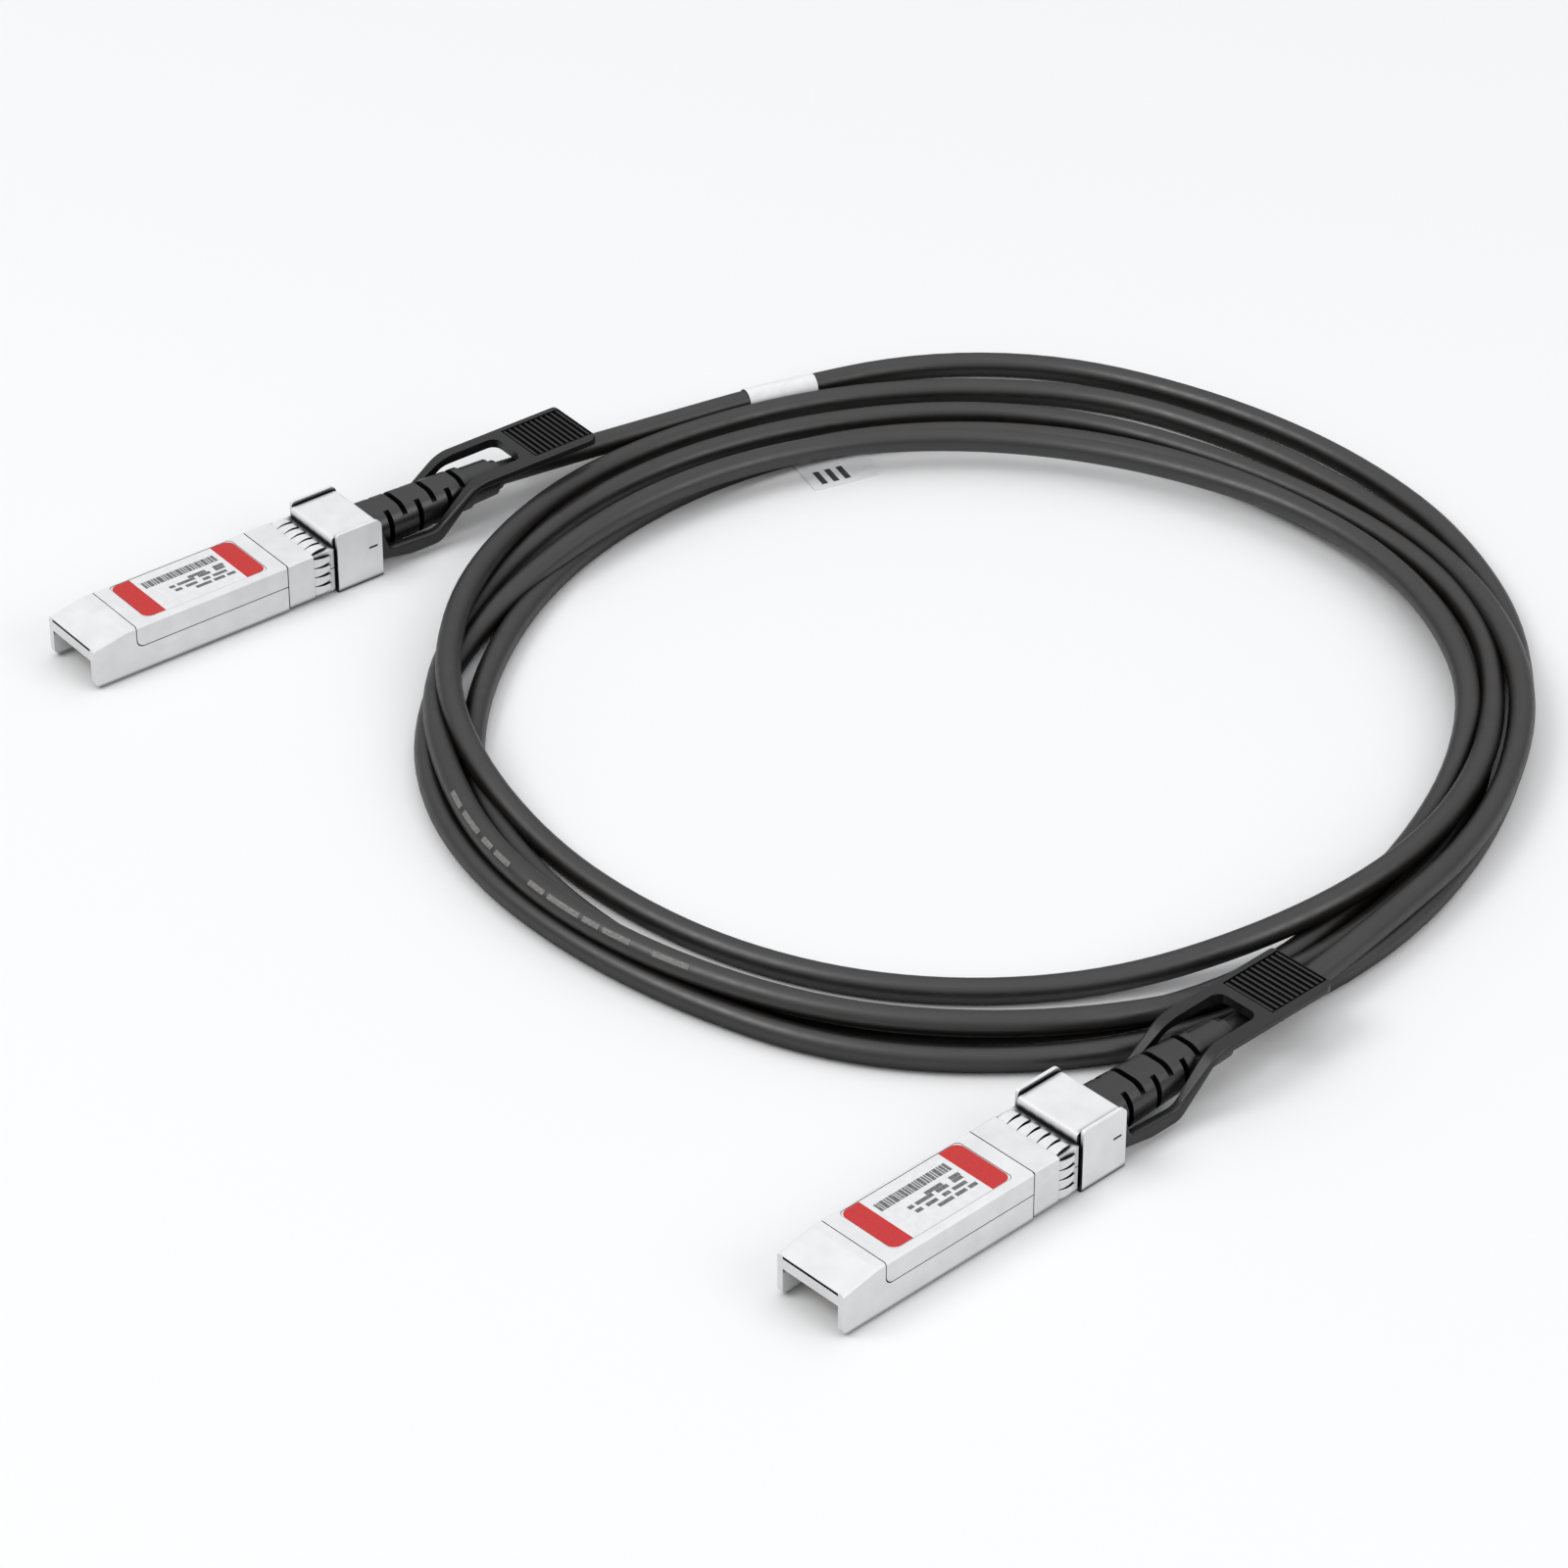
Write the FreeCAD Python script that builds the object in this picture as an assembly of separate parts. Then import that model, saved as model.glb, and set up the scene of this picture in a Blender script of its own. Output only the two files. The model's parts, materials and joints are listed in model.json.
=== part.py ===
"""Direct attach copper cable: a coiled twin-axial cord with a pluggable plug on each end.

Millimetres, +Z up. The cable lies on the plane z = 0. Each plug is drawn in its own frame: x runs from
the nose end to the rear, y is across, z is the height above the surface, and is then set in its place.
Plug a points along X; the origin is under the middle of the two plugs.
"""
import FreeCAD, Part
import math
import os

from FreeCAD import Rotation, Vector

# ---- coil and the cord's free ends ----
COIL_BEHIND_BOOT = 24.15      # the coil's middle behind plug a's strain relief
COIL_SIDE_SHIFT = 0.1
COIL_OUTER_RADIUS = 96.6
COIL_BAND_WIDTH = 21.4         # across the turns that lie side by side
COIL_INNER_RADIUS = COIL_OUTER_RADIUS - COIL_BAND_WIDTH
COIL_HEIGHT = 7.8
COIL_EDGE_RADIUS = 3.2

# ---- where the two plugs lie: nose end, and the turn about Z. Each lies just outside the coil's rim ----
PLUG_PLACES = {
    "a": (Vector(-48.05, COIL_OUTER_RADIUS + 4.36, 0.0), 0.0),
    "b": (Vector(-53.79, -COIL_OUTER_RADIUS - 5.66, 0.0), 5.5),
}

# ---- plug body, to the small form-factor pluggable outline ----
BODY_WIDTH = 13.55
BODY_HEIGHT = 8.55
BODY_LIFT = 0.5             # body underside above the surface: the latch bracket is what rests on it
BODY_WALL = 1.1
REAR_SPACE = 12.0            # card's rear end to the positive stop
NOSE_LENGTH = 8.3           # the closed hoop ahead of the cover
NOSE_SLOPE_LENGTH = 6.5
NOSE_SLOPE_DROP = 1.25
NOSE_LIP_THICKNESS = 2.4
NOSE_LIP_DEPTH = 1.5
NOSE_CORNER_RADIUS = 1.2
NOSE_GROOVE_HEIGHT = 0.45     # dark line let into the lip's front
NOSE_GROOVE_DEPTH = 0.9
MOUTH_LENGTH = 10.4         # open underside behind the nose end
FLOOR_THICKNESS = 1.0
COVER_DROP = 4.05           # how far the cover's sides come down
COVER_CORNER_RADIUS = 1.4
SEAM_GAP = 0.16
EDGE_RADIUS = 0.35

# ---- head: the thick rear end outside the cage ----
HEAD_LENGTH = 9.5
HEAD_RISE = 1.55            # head top above body top
HEAD_HALF_WIDTH = 6.05
HEAD_BOTTOM = 0.7
HEAD_CORNER_RADIUS = 1.3
NOTCH_LENGTH = 3.0          # side notches at the head's rear for the pull tab's roots
NOTCH_HALF_WIDTH = 4.75
NOTCH_TOP = 8.5

# ---- latch: boss on the body, bracket that slides on the head ----
BOSS_SHOULDER_SETBACK = 2.5   # latch shoulder ahead of the stop
BOSS_LENGTH = 2.6
BOSS_WIDTH = 2.6
BOSS_HEIGHT = 0.45
TRAVEL = 2.5
SHEET = 0.6                 # bracket sheet thickness
SHEET_GAP = 0.1
BRACKET_SETBACK = 0.5         # bracket's front behind the head's front
BRACKET_SIDE_GAP = 0.35       # open line between the head and each side plate
BRACKET_TOP = 11.3
BRACKET_FRONT_RADIUS = 0.6
BRACKET_REAR_RADIUS = 1.3
TINE_INNER = 1.75
TINE_WIDTH = 1.0
TINE_LENGTH = 4.0
TINE_THICKNESS = 0.35
SLIT_SETBACK = 2.65           # slit's front ahead of the bracket's rear
SLIT_LENGTH = 1.7
SLIT_BOTTOM = 6.3
SLIT_HEIGHT = 0.4
SLIT_CLEARANCE = 0.05

# ---- return springs, one in a pocket on each side of the head ----
POCKET_FRONT_WALL = 0.5
POCKET_LENGTH = 5.3
POCKET_INNER = 4.45
POCKET_BOTTOM = 2.6
POCKET_HEIGHT = 2.3
SPRING_TAB = 0.4
SPRING_WIRE = 0.3
SPRING_DIAMETER = 1.5
SPRING_TURNS = 5

# ---- spring-finger collar ----
COLLAR_SETBACK = 9.2          # collar's front ahead of the stop
COLLAR_LENGTH = 8.35
COLLAR_BAND = 5.05            # plain band ahead of the fingers
COLLAR_FRONT_LINE = 0.22      # open line between the cover and the collar
COLLAR_SHEET = 0.2
COLLAR_BULGE = 0.3
COLLAR_CORNER = 0.45          # clear of fingers at each corner
TOP_FINGERS = 6
SIDE_FINGERS = 4
SLIT_FRONT_WIDTH = 0.14
SLIT_REAR_WIDTH = 0.72
TIP_ROUNDING = 0.4            # the fingers' tips are cut back at their corners
LATCH_WINDOW = 3.4          # half width left free round the latch boss

# ---- card and what it carries ----
CARD_SETBACK = 3.2
CARD_LENGTH = 32.3
CARD_WIDTH = 9.2
CARD_THICKNESS = 1.0
CARD_HEIGHT = 2.25          # card underside above body underside
LEDGE_INNER = 4.2
LEDGE_START_X = 12.0
LEDGE_LENGTH = 20.0
CONTACT_COUNT = 10
CONTACT_PITCH = 0.8
CONTACT_WIDTH = 0.55
CONTACT_LENGTH = 4.6
CONTACT_THICKNESS = 0.06
CONTACT_SETBACK = 0.5
CHIP_SIZE = 3.0
CHIP_HEIGHT = 0.9
CHIP_X = 20.0
CHIP_LEG = 0.4
CORE_DIAMETER = 0.9
CORE_SPACING = 1.8

# ---- screws from below, into posts of the cover ----
SCREW_SETBACK = 1.5           # screws behind the card
SCREW_Y = 4.0
SCREW_SHANK = 1.2
SCREW_HEAD = 2.0
SCREW_HEAD_DEPTH = 0.7
POST_DIAMETER = 2.8
SCREW_TIP_GAP = 0.6

# ---- label in a shallow recess on the cover ----
LABEL_START_X = 11.3
LABEL_LENGTH = 23.9
LABEL_WIDTH = 11.3
LABEL_SIDE_SHIFT = 0.35
LABEL_THICKNESS = 0.1
LABEL_RECESS = 0.14
LABEL_MARGIN = 0.1
LABEL_CORNER = 0.8

# ---- cord, strain relief ----
CORD_DIAMETER = 4.2
CORD_AXIS_Z = 5.7
FERRULE_SETBACK = 1.1         # ferrule behind the stop
FERRULE_DIAMETER = 5.2
FERRULE_BORE = 4.6
BORE_CLEARANCE = 0.05
FLANGE_DIAMETER = 7.8
FLANGE_LENGTH = 1.4
NECK_DIAMETER = 6.2
NECK_LENGTH = 1.4
BOOT_ROOT_WIDTH = 8.9
BOOT_ROOT_HEIGHT = 7.3
BOOT_TIP_WIDTH = 7.4
BOOT_TIP_HEIGHT = 6.9
BOOT_CORNER = 3.0
BOOT_TAPER_LENGTH = 21.2
SLEEVE_STEP = 0.25
SLEEVE_LENGTH = 5.7
COLLET_LENGTH = 1.4
COLLET_DIAMETER = 5.2
FLEX_SLOTS = 3              # on each of the four sides
FLEX_START = 3.4            # first slot behind the head
FLEX_PITCH = 3.1
FLEX_SLOT_WIDTH = 1.05
FLEX_CORE_HALF_WIDTH = 2.4
FLEX_CORE_HALF_HEIGHT = 2.1

# ---- pull tab ----
TAB_ROOT_DEPTH = 2.8          # roots let into the head's rear
TAB_ROOT_INNER = 5.05
TAB_ROOT_BOTTOM = 2.5
TAB_ARM_BOTTOM = 1.4          # the arms' lowest place, behind the roots
TAB_ARM_HEIGHT = 2.5
TAB_ROOT_TOP = 8.3
TAB_LENGTH = 45.8             # behind the head
TAB_PLATE_BOTTOM = 8.4
TAB_PLATE_THICKNESS = 1.6
TAB_WINDOW_LENGTH = 31.3
TAB_WINDOW_HALF_WIDTH = 4.1
TAB_CORNER_RADIUS = 2.0
TAB_EDGE_RADIUS = 0.5
RIDGES = 11
RIDGE_SETBACK = 33.5          # first ridge behind the head
RIDGE_PITCH = 1.1
RIDGE_WIDTH = 0.45
RIDGE_DROP = 0.05            # ridge tops below the plate's top
RIDGE_LENGTH = 9.6
PANEL_DEPTH = 0.5             # the ridges stand in a sunk panel
PANEL_MARGIN = 0.3

# ---- wrapped vinyl flag on free end a ----
FLAG_WIDTH = 13.2
FLAG_REACH = 28.5
FLAG_SHEET = 0.12
FLAG_TAIL_THICKNESS = 0.2

# ---- worked out from the above ----
CARD_END_X = CARD_SETBACK + CARD_LENGTH
STOP_X = CARD_END_X + REAR_SPACE
SCREW_X = CARD_END_X + SCREW_SETBACK
COLLAR_START_X = STOP_X - COLLAR_SETBACK
BOSS_SHOULDER_X = STOP_X - BOSS_SHOULDER_SETBACK
FERRULE_START_X = STOP_X + FERRULE_SETBACK
BODY_TOP = BODY_LIFT + BODY_HEIGHT
HALF_BODY = BODY_WIDTH / 2
INNER_HALF = HALF_BODY - BODY_WALL
SEAM_Z = BODY_TOP - COVER_DROP
CEILING = BODY_TOP - BODY_WALL
HEAD_REAR = STOP_X + HEAD_LENGTH
HEAD_TOP = BODY_TOP + HEAD_RISE
BRACKET_FRONT = STOP_X + BRACKET_SETBACK
BRACKET_INNER = HEAD_HALF_WIDTH + BRACKET_SIDE_GAP
BRACKET_OUTER = BRACKET_INNER + SHEET
TAB_HALF_WIDTH = BRACKET_INNER
COLLAR_END_X = COLLAR_START_X + COLLAR_LENGTH
COLLAR_RECESS = COLLAR_SHEET + 0.05
CARD_BOTTOM = BODY_LIFT + CARD_HEIGHT
CARD_TOP = CARD_BOTTOM + CARD_THICKNESS
BOOT_X = HEAD_REAR
BOOT_TAPER_END = BOOT_X + BOOT_TAPER_LENGTH
SLEEVE_END = BOOT_TAPER_END + SLEEVE_LENGTH
COLLET_END = SLEEVE_END + COLLET_LENGTH
COIL_CENTRE = Vector(PLUG_PLACES["a"][0].x + COLLET_END + COIL_BEHIND_BOOT, COIL_SIDE_SHIFT, 0.0)
SLIT_X = HEAD_REAR - SLIT_SETBACK
TAB_ROOT_X = HEAD_REAR - TAB_ROOT_DEPTH
TAB_REAR_X = HEAD_REAR + TAB_LENGTH
TAB_WINDOW_END_X = HEAD_REAR + TAB_WINDOW_LENGTH
RIDGE_START_X = HEAD_REAR + RIDGE_SETBACK
FLANGE_END = HEAD_REAR - NECK_LENGTH
FLANGE_START = FLANGE_END - FLANGE_LENGTH
POCKET_START = STOP_X + POCKET_FRONT_WALL
POCKET_END = POCKET_START + POCKET_LENGTH
POCKET_TOP = POCKET_BOTTOM + POCKET_HEIGHT
SPRING_Z = POCKET_BOTTOM + POCKET_HEIGHT / 2
SPRING_TAB_START = POCKET_START + SHEET_GAP
BEYOND = 1.0                # how far a cutter runs past what it cuts


# ---------------------------------------------------------------- the cord's route
def plug_point(side, x, z):
    """A point on a plug's middle plane, where the plug lies."""
    position, turn = PLUG_PLACES[side]
    point = position + Rotation(Vector(0, 0, 1), turn).multVec(Vector(x, 0, z))
    return point.x, point.y, point.z


def rim_point(outside, bearing, z):
    """A point near the coil, by its distance outside the rim and its bearing in degrees."""
    radius = COIL_OUTER_RADIUS + outside
    angle = math.radians(bearing)
    return COIL_CENTRE.x + radius * math.cos(angle), COIL_CENTRE.y + radius * math.sin(angle), z


# Free end a: from the strain relief, sinking to the surface, then in a wide sweep to the coil.
TAIL_A_POINTS = [
    plug_point("a", COLLET_END, CORD_AXIS_Z),
    plug_point("a", COLLET_END + 10.7, CORD_AXIS_Z - 0.4),
    rim_point(4.57, 85.12, 2.9),
    rim_point(6.31, 70.65, 2.2),
    rim_point(10.49, 56.7, 2.1),
    rim_point(10.72, 43.2, 2.1),
    rim_point(7.79, 29.6, 2.1),
    rim_point(4.25, 15.5, 2.1),
    rim_point(0.84, 1.7, 2.1),
    rim_point(-1.64, -10.1, 2.1),
]
# Free end b: a short way from the strain relief into the coil.
TAIL_B_POINTS = [
    plug_point("b", COLLET_END, CORD_AXIS_Z),
    plug_point("b", COLLET_END + 6.7, CORD_AXIS_Z - 0.2),
    rim_point(-2.94, -99.03, 5.0),
]


# ---------------------------------------------------------------- helpers
def block(x0, x1, y0, y1, z0, z1):
    """A box between two corners."""
    return Part.makeBox(x1 - x0, y1 - y0, z1 - z0, Vector(x0, y0, z0))


def both_sides(shape):
    """A shape and its mirror image across the plug's middle plane."""
    return shape.fuse(shape.mirror(Vector(0, 0, 0), Vector(0, 1, 0)))


def rounded_wire(corners, to_space):
    """A closed wire through corners (a, b) or (a, b, radius); a radius turns a corner into an arc."""
    count = len(corners)
    edges = []
    previous_end = None
    first_start = None
    for i in range(count):
        here = Vector(corners[i][0], corners[i][1], 0)
        radius = corners[i][2] if len(corners[i]) > 2 else 0.0
        if radius > 0:
            before = Vector(corners[i - 1][0], corners[i - 1][1], 0)
            after = Vector(corners[(i + 1) % count][0], corners[(i + 1) % count][1], 0)
            to_before = (before - here).normalize()
            to_after = (after - here).normalize()
            half = to_before.getAngle(to_after) / 2
            start = here + to_before * (radius / math.tan(half))
            end = here + to_after * (radius / math.tan(half))
            middle = here + (to_before + to_after).normalize() * (radius / math.sin(half) - radius)
        else:
            start = end = here
        if previous_end is not None and previous_end.distanceToPoint(start) > 1e-6:
            edges.append(Part.LineSegment(to_space(previous_end), to_space(start)).toShape())
        if radius > 0:
            edges.append(Part.Arc(to_space(start), to_space(middle), to_space(end)).toShape())
        if first_start is None:
            first_start = start
        previous_end = end
    if previous_end.distanceToPoint(first_start) > 1e-6:
        edges.append(Part.LineSegment(to_space(previous_end), to_space(first_start)).toShape())
    return Part.Wire(edges)


def side_extrusion(corners, y0, y1):
    """A side view outline (x, z) carried across from y0 to y1."""
    wire = rounded_wire(corners, lambda p: Vector(p.x, y0, p.y))
    return Part.Face(wire).extrude(Vector(0, y1 - y0, 0))


def plan_extrusion(corners, z0, z1):
    """A plan outline (x, y) carried up from z0 to z1."""
    wire = rounded_wire(corners, lambda p: Vector(p.x, p.y, z0))
    return Part.Face(wire).extrude(Vector(0, 0, z1 - z0))


def section_wire(x, width, height, centre_z, radius):
    """A rounded rectangle across the plug at x."""
    a, b = width / 2, height / 2
    corners = [(-a, -b, radius), (a, -b, radius), (a, b, radius), (-a, b, radius)]
    return rounded_wire(corners, lambda p: Vector(x, p.x, centre_z + p.y))


def rod(x0, x1, diameter, centre_y=0.0, centre_z=CORD_AXIS_Z):
    """A round bar along x."""
    return Part.makeCylinder(diameter / 2, x1 - x0, Vector(x0, centre_y, centre_z), Vector(1, 0, 0))


def post(x, y, z0, z1, diameter):
    """An upright round bar."""
    return Part.makeCylinder(diameter / 2, z1 - z0, Vector(x, y, z0), Vector(0, 0, 1))


def route_edges(points):
    """Straight runs joined by tangent arcs, each as large as its two runs allow."""
    nodes = [Vector(*p) for p in points]
    edges = []
    radii = []
    last = nodes[0]
    for i in range(1, len(nodes) - 1):
        back = nodes[i - 1] - nodes[i]
        ahead = nodes[i + 1] - nodes[i]
        reach = 0.45 * min(back.Length, ahead.Length)
        half_turn = (math.pi - back.getAngle(ahead)) / 2
        radius = reach / math.tan(half_turn)
        radii.append(round(radius, 1))
        back.normalize()
        ahead.normalize()
        start = nodes[i] + back * reach
        end = nodes[i] + ahead * reach
        inward = (back + ahead).normalize()
        middle = nodes[i] + inward * (radius / math.cos(half_turn) - radius)
        edges.append(Part.LineSegment(last, start).toShape())
        edges.append(Part.Arc(start, middle, end).toShape())
        last = end
    edges.append(Part.LineSegment(last, nodes[-1]).toShape())
    return edges, radii


def sweep_round(edges, diameter):
    """A round bar along a path."""
    path = Part.Wire(edges)
    start = edges[0].valueAt(edges[0].FirstParameter)
    direction = edges[0].tangentAt(edges[0].FirstParameter)
    ring = Part.Wire(Part.makeCircle(diameter / 2, start, direction))
    return path.makePipeShell([ring], True, True)


# ---------------------------------------------------------------- plug body
def cover_outline(gap=0.0):
    """Side view of the cover ahead of the stop, and the seam that the base follows."""
    return [
        (NOSE_LENGTH + gap, SEAM_Z + gap, COVER_CORNER_RADIUS),
        (STOP_X, SEAM_Z + gap),
        (STOP_X, BODY_TOP + BEYOND),
        (NOSE_LENGTH + gap, BODY_TOP + BEYOND),
    ]


def body_blank():
    """The whole plug body ahead of the stop, before it is hollowed and split."""
    slope_start = BODY_TOP - NOSE_SLOPE_DROP
    blank = side_extrusion([
        (0, BODY_LIFT, NOSE_CORNER_RADIUS),
        (STOP_X, BODY_LIFT),
        (STOP_X, BODY_TOP),
        (NOSE_SLOPE_LENGTH, BODY_TOP),
        (0, slope_start),
    ], -HALF_BODY, HALF_BODY)
    return blank.makeChamfer(EDGE_RADIUS, long_side_edges(blank))


def long_side_edges(shape):
    """The two long edges and the two sloping ones along the top of the body."""
    chosen = []
    for edge in shape.Edges:
        box = edge.BoundBox
        on_side = abs(abs(box.YMin) - HALF_BODY) < 1e-6 and box.YLength < 1e-6
        on_top = box.ZMin > SEAM_Z and box.XLength > 1
        if on_side and on_top:
            chosen.append(edge)
    return chosen


def nose_hollow():
    """The open mouth: the host's connector comes in from the nose end and from below."""
    slope = NOSE_SLOPE_DROP / NOSE_SLOPE_LENGTH
    lip_z = BODY_TOP - NOSE_SLOPE_DROP - NOSE_LIP_THICKNESS
    step_x = 2 * NOSE_LIP_DEPTH
    return side_extrusion([
        (-BEYOND, -BEYOND),
        (MOUTH_LENGTH, -BEYOND),
        (MOUTH_LENGTH, CEILING),
        (NOSE_SLOPE_LENGTH, CEILING),
        (step_x, CEILING - slope * (NOSE_SLOPE_LENGTH - step_x)),
        (NOSE_LIP_DEPTH, lip_z),
        (-BEYOND, lip_z),
    ], -INNER_HALF, INNER_HALF)


def body_hollow():
    """The space for the card, behind the mouth."""
    return block(MOUTH_LENGTH - BEYOND, STOP_X - BODY_WALL, -INNER_HALF, INNER_HALF,
                 BODY_LIFT + FLOOR_THICKNESS, CEILING)


def collar_band_cut():
    """Everything outside the core that the collar is folded round."""
    front = COLLAR_START_X - COLLAR_FRONT_LINE
    outside = block(front, STOP_X, -HALF_BODY - BEYOND, HALF_BODY + BEYOND,
                    BODY_LIFT - BEYOND, BODY_TOP + BEYOND)
    core = block(front, STOP_X, -HALF_BODY + COLLAR_RECESS, HALF_BODY - COLLAR_RECESS,
                 BODY_LIFT + COLLAR_RECESS, BODY_TOP - COLLAR_RECESS)
    latch_land = block(front, STOP_X, -LATCH_WINDOW, LATCH_WINDOW,
                       BODY_LIFT, BODY_LIFT + FLOOR_THICKNESS)
    return outside.cut(core).cut(latch_land)


def head_blank():
    """The head's block: square in front, rounded at the rear, notched for the pull tab's roots."""
    plan = plan_extrusion([
        (STOP_X, -HEAD_HALF_WIDTH),
        (HEAD_REAR, -HEAD_HALF_WIDTH, HEAD_CORNER_RADIUS),
        (HEAD_REAR, HEAD_HALF_WIDTH, HEAD_CORNER_RADIUS),
        (STOP_X, HEAD_HALF_WIDTH),
    ], HEAD_BOTTOM, HEAD_TOP)
    side = side_extrusion([
        (STOP_X, HEAD_BOTTOM),
        (HEAD_REAR, HEAD_BOTTOM),
        (HEAD_REAR, HEAD_TOP, EDGE_RADIUS * 2),
        (STOP_X, HEAD_TOP, EDGE_RADIUS * 2),
    ], -HEAD_HALF_WIDTH, HEAD_HALF_WIDTH)
    notch = block(HEAD_REAR - NOTCH_LENGTH, HEAD_REAR + BEYOND, NOTCH_HALF_WIDTH,
                  HEAD_HALF_WIDTH + BEYOND, HEAD_BOTTOM - BEYOND, NOTCH_TOP)
    pocket = block(POCKET_START, POCKET_END, POCKET_INNER, HEAD_HALF_WIDTH + BEYOND,
                   POCKET_BOTTOM, POCKET_TOP)
    return plan.common(side).cut(both_sides(notch)).cut(both_sides(pocket))


def cord_bore():
    """The stepped bore that holds the ferrule, the strain relief's flange and its neck."""
    ferrule_room = rod(STOP_X - 2 * BODY_WALL, FLANGE_START, FERRULE_DIAMETER + 2 * BORE_CLEARANCE)
    flange_room = rod(FLANGE_START, FLANGE_END, FLANGE_DIAMETER)
    neck_room = rod(FLANGE_END - BORE_CLEARANCE, HEAD_REAR + BEYOND, NECK_DIAMETER)
    return ferrule_room.fuse([flange_room, neck_room])


def tine_groove():
    """Shallow tracks beside the latch boss for the bracket's two tines."""
    groove = block(STOP_X - TINE_LENGTH - 2 * SHEET_GAP, STOP_X + BEYOND, TINE_INNER - SHEET_GAP,
                   TINE_INNER + TINE_WIDTH + SHEET_GAP, BODY_LIFT - BEYOND, HEAD_BOTTOM)
    return both_sides(groove)


def latch_boss():
    """The boss that the cage's tab snaps behind: ramp toward the nose, shoulder toward the rear."""
    front = BOSS_SHOULDER_X - BOSS_LENGTH
    return side_extrusion([
        (front - BOSS_HEIGHT, BODY_LIFT),
        (front, BODY_LIFT - BOSS_HEIGHT),
        (BOSS_SHOULDER_X, BODY_LIFT - BOSS_HEIGHT),
        (BOSS_SHOULDER_X, BODY_LIFT + FLOOR_THICKNESS / 2),
        (front - BOSS_HEIGHT, BODY_LIFT + FLOOR_THICKNESS / 2),
    ], -BOSS_WIDTH / 2, BOSS_WIDTH / 2)


def housing_base():
    """Die-cast lower body: nose hoop, tray, latch boss and the lower half of the head."""
    base = body_blank().cut(side_extrusion(cover_outline(), -HALF_BODY - BEYOND, HALF_BODY + BEYOND))
    base = base.cut(nose_hollow()).cut(body_hollow()).cut(collar_band_cut())
    lower_head = head_blank().common(block(STOP_X, HEAD_REAR, -HALF_BODY, HALF_BODY, 0, SEAM_Z))
    base = base.fuse([lower_head, latch_boss()])
    ledge = block(LEDGE_START_X, LEDGE_START_X + LEDGE_LENGTH, LEDGE_INNER, INNER_HALF,
                  BODY_LIFT + FLOOR_THICKNESS, CARD_BOTTOM)
    seats = [post(SCREW_X, y, BODY_LIFT + FLOOR_THICKNESS, SEAM_Z, POST_DIAMETER)
             for y in (-SCREW_Y, SCREW_Y)]
    base = base.fuse([both_sides(ledge)] + seats)
    for y in (-SCREW_Y, SCREW_Y):
        base = base.cut(post(SCREW_X, y, 0, SEAM_Z, SCREW_SHANK + 2 * BORE_CLEARANCE))
        base = base.cut(post(SCREW_X, y, 0, BODY_LIFT + SCREW_HEAD_DEPTH, SCREW_HEAD + 2 * BORE_CLEARANCE))
    base = base.cut(cord_bore()).cut(tine_groove())
    lip_top = BODY_TOP - NOSE_SLOPE_DROP
    groove = block(-BEYOND, NOSE_GROOVE_DEPTH, -INNER_HALF, INNER_HALF,
                   lip_top - 0.15 - NOSE_GROOVE_HEIGHT, lip_top - 0.15)
    return base.cut(groove).removeSplitter()


def housing_cover():
    """Die-cast lid behind the nose, with the head's upper half, card clamps and screw posts."""
    cover = body_blank().common(side_extrusion(cover_outline(SEAM_GAP), -HALF_BODY, HALF_BODY))
    hollow = block(NOSE_LENGTH - BEYOND, STOP_X - BODY_WALL, -INNER_HALF, INNER_HALF, 0, CEILING)
    cover = cover.cut(hollow).cut(collar_band_cut())
    upper_head = head_blank().common(
        block(STOP_X, HEAD_REAR, -HALF_BODY, HALF_BODY, SEAM_Z + SEAM_GAP, HEAD_TOP))
    clamp = block(LEDGE_START_X, LEDGE_START_X + LEDGE_LENGTH, LEDGE_INNER, INNER_HALF,
                  CARD_TOP, CEILING)
    posts = [post(SCREW_X, y, SEAM_Z, CEILING, POST_DIAMETER) for y in (-SCREW_Y, SCREW_Y)]
    cover = cover.fuse([upper_head, both_sides(clamp)] + posts)
    for y in (-SCREW_Y, SCREW_Y):
        cover = cover.cut(post(SCREW_X, y, 0, CEILING - SCREW_TIP_GAP, SCREW_SHANK))
    cover = cover.cut(cord_bore())
    return cover.cut(label_outline(LABEL_MARGIN, BODY_TOP - LABEL_RECESS, BODY_TOP + BEYOND)).removeSplitter()


def label_outline(margin, z0, z1):
    """The label's outline, grown by a margin."""
    x0 = LABEL_START_X - margin
    x1 = LABEL_START_X + LABEL_LENGTH + margin
    y0 = LABEL_SIDE_SHIFT - LABEL_WIDTH / 2 - margin
    y1 = LABEL_SIDE_SHIFT + LABEL_WIDTH / 2 + margin
    corner = LABEL_CORNER + margin
    return plan_extrusion([(x0, y0, corner), (x1, y0, corner), (x1, y1, corner), (x0, y1, corner)], z0, z1)


def label():
    """Paper label, lying on the recess's floor."""
    floor = BODY_TOP - LABEL_RECESS
    return label_outline(0.0, floor, floor + LABEL_THICKNESS)


def screws():
    """Two small screws, heads sunk in the base's underside, tips in the cover's posts."""
    made = []
    for y in (-SCREW_Y, SCREW_Y):
        head = post(SCREW_X, y, BODY_LIFT + 0.1, BODY_LIFT + SCREW_HEAD_DEPTH, SCREW_HEAD)
        shank = post(SCREW_X, y, BODY_LIFT + SCREW_HEAD_DEPTH, CEILING - SCREW_TIP_GAP, SCREW_SHANK)
        slot = block(SCREW_X - SCREW_HEAD, SCREW_X + SCREW_HEAD, y - 0.15, y + 0.15, 0, BODY_LIFT + 0.35)
        made.append(head.fuse(shank).cut(slot).removeSplitter())
    return Part.makeCompound(made)


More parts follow.
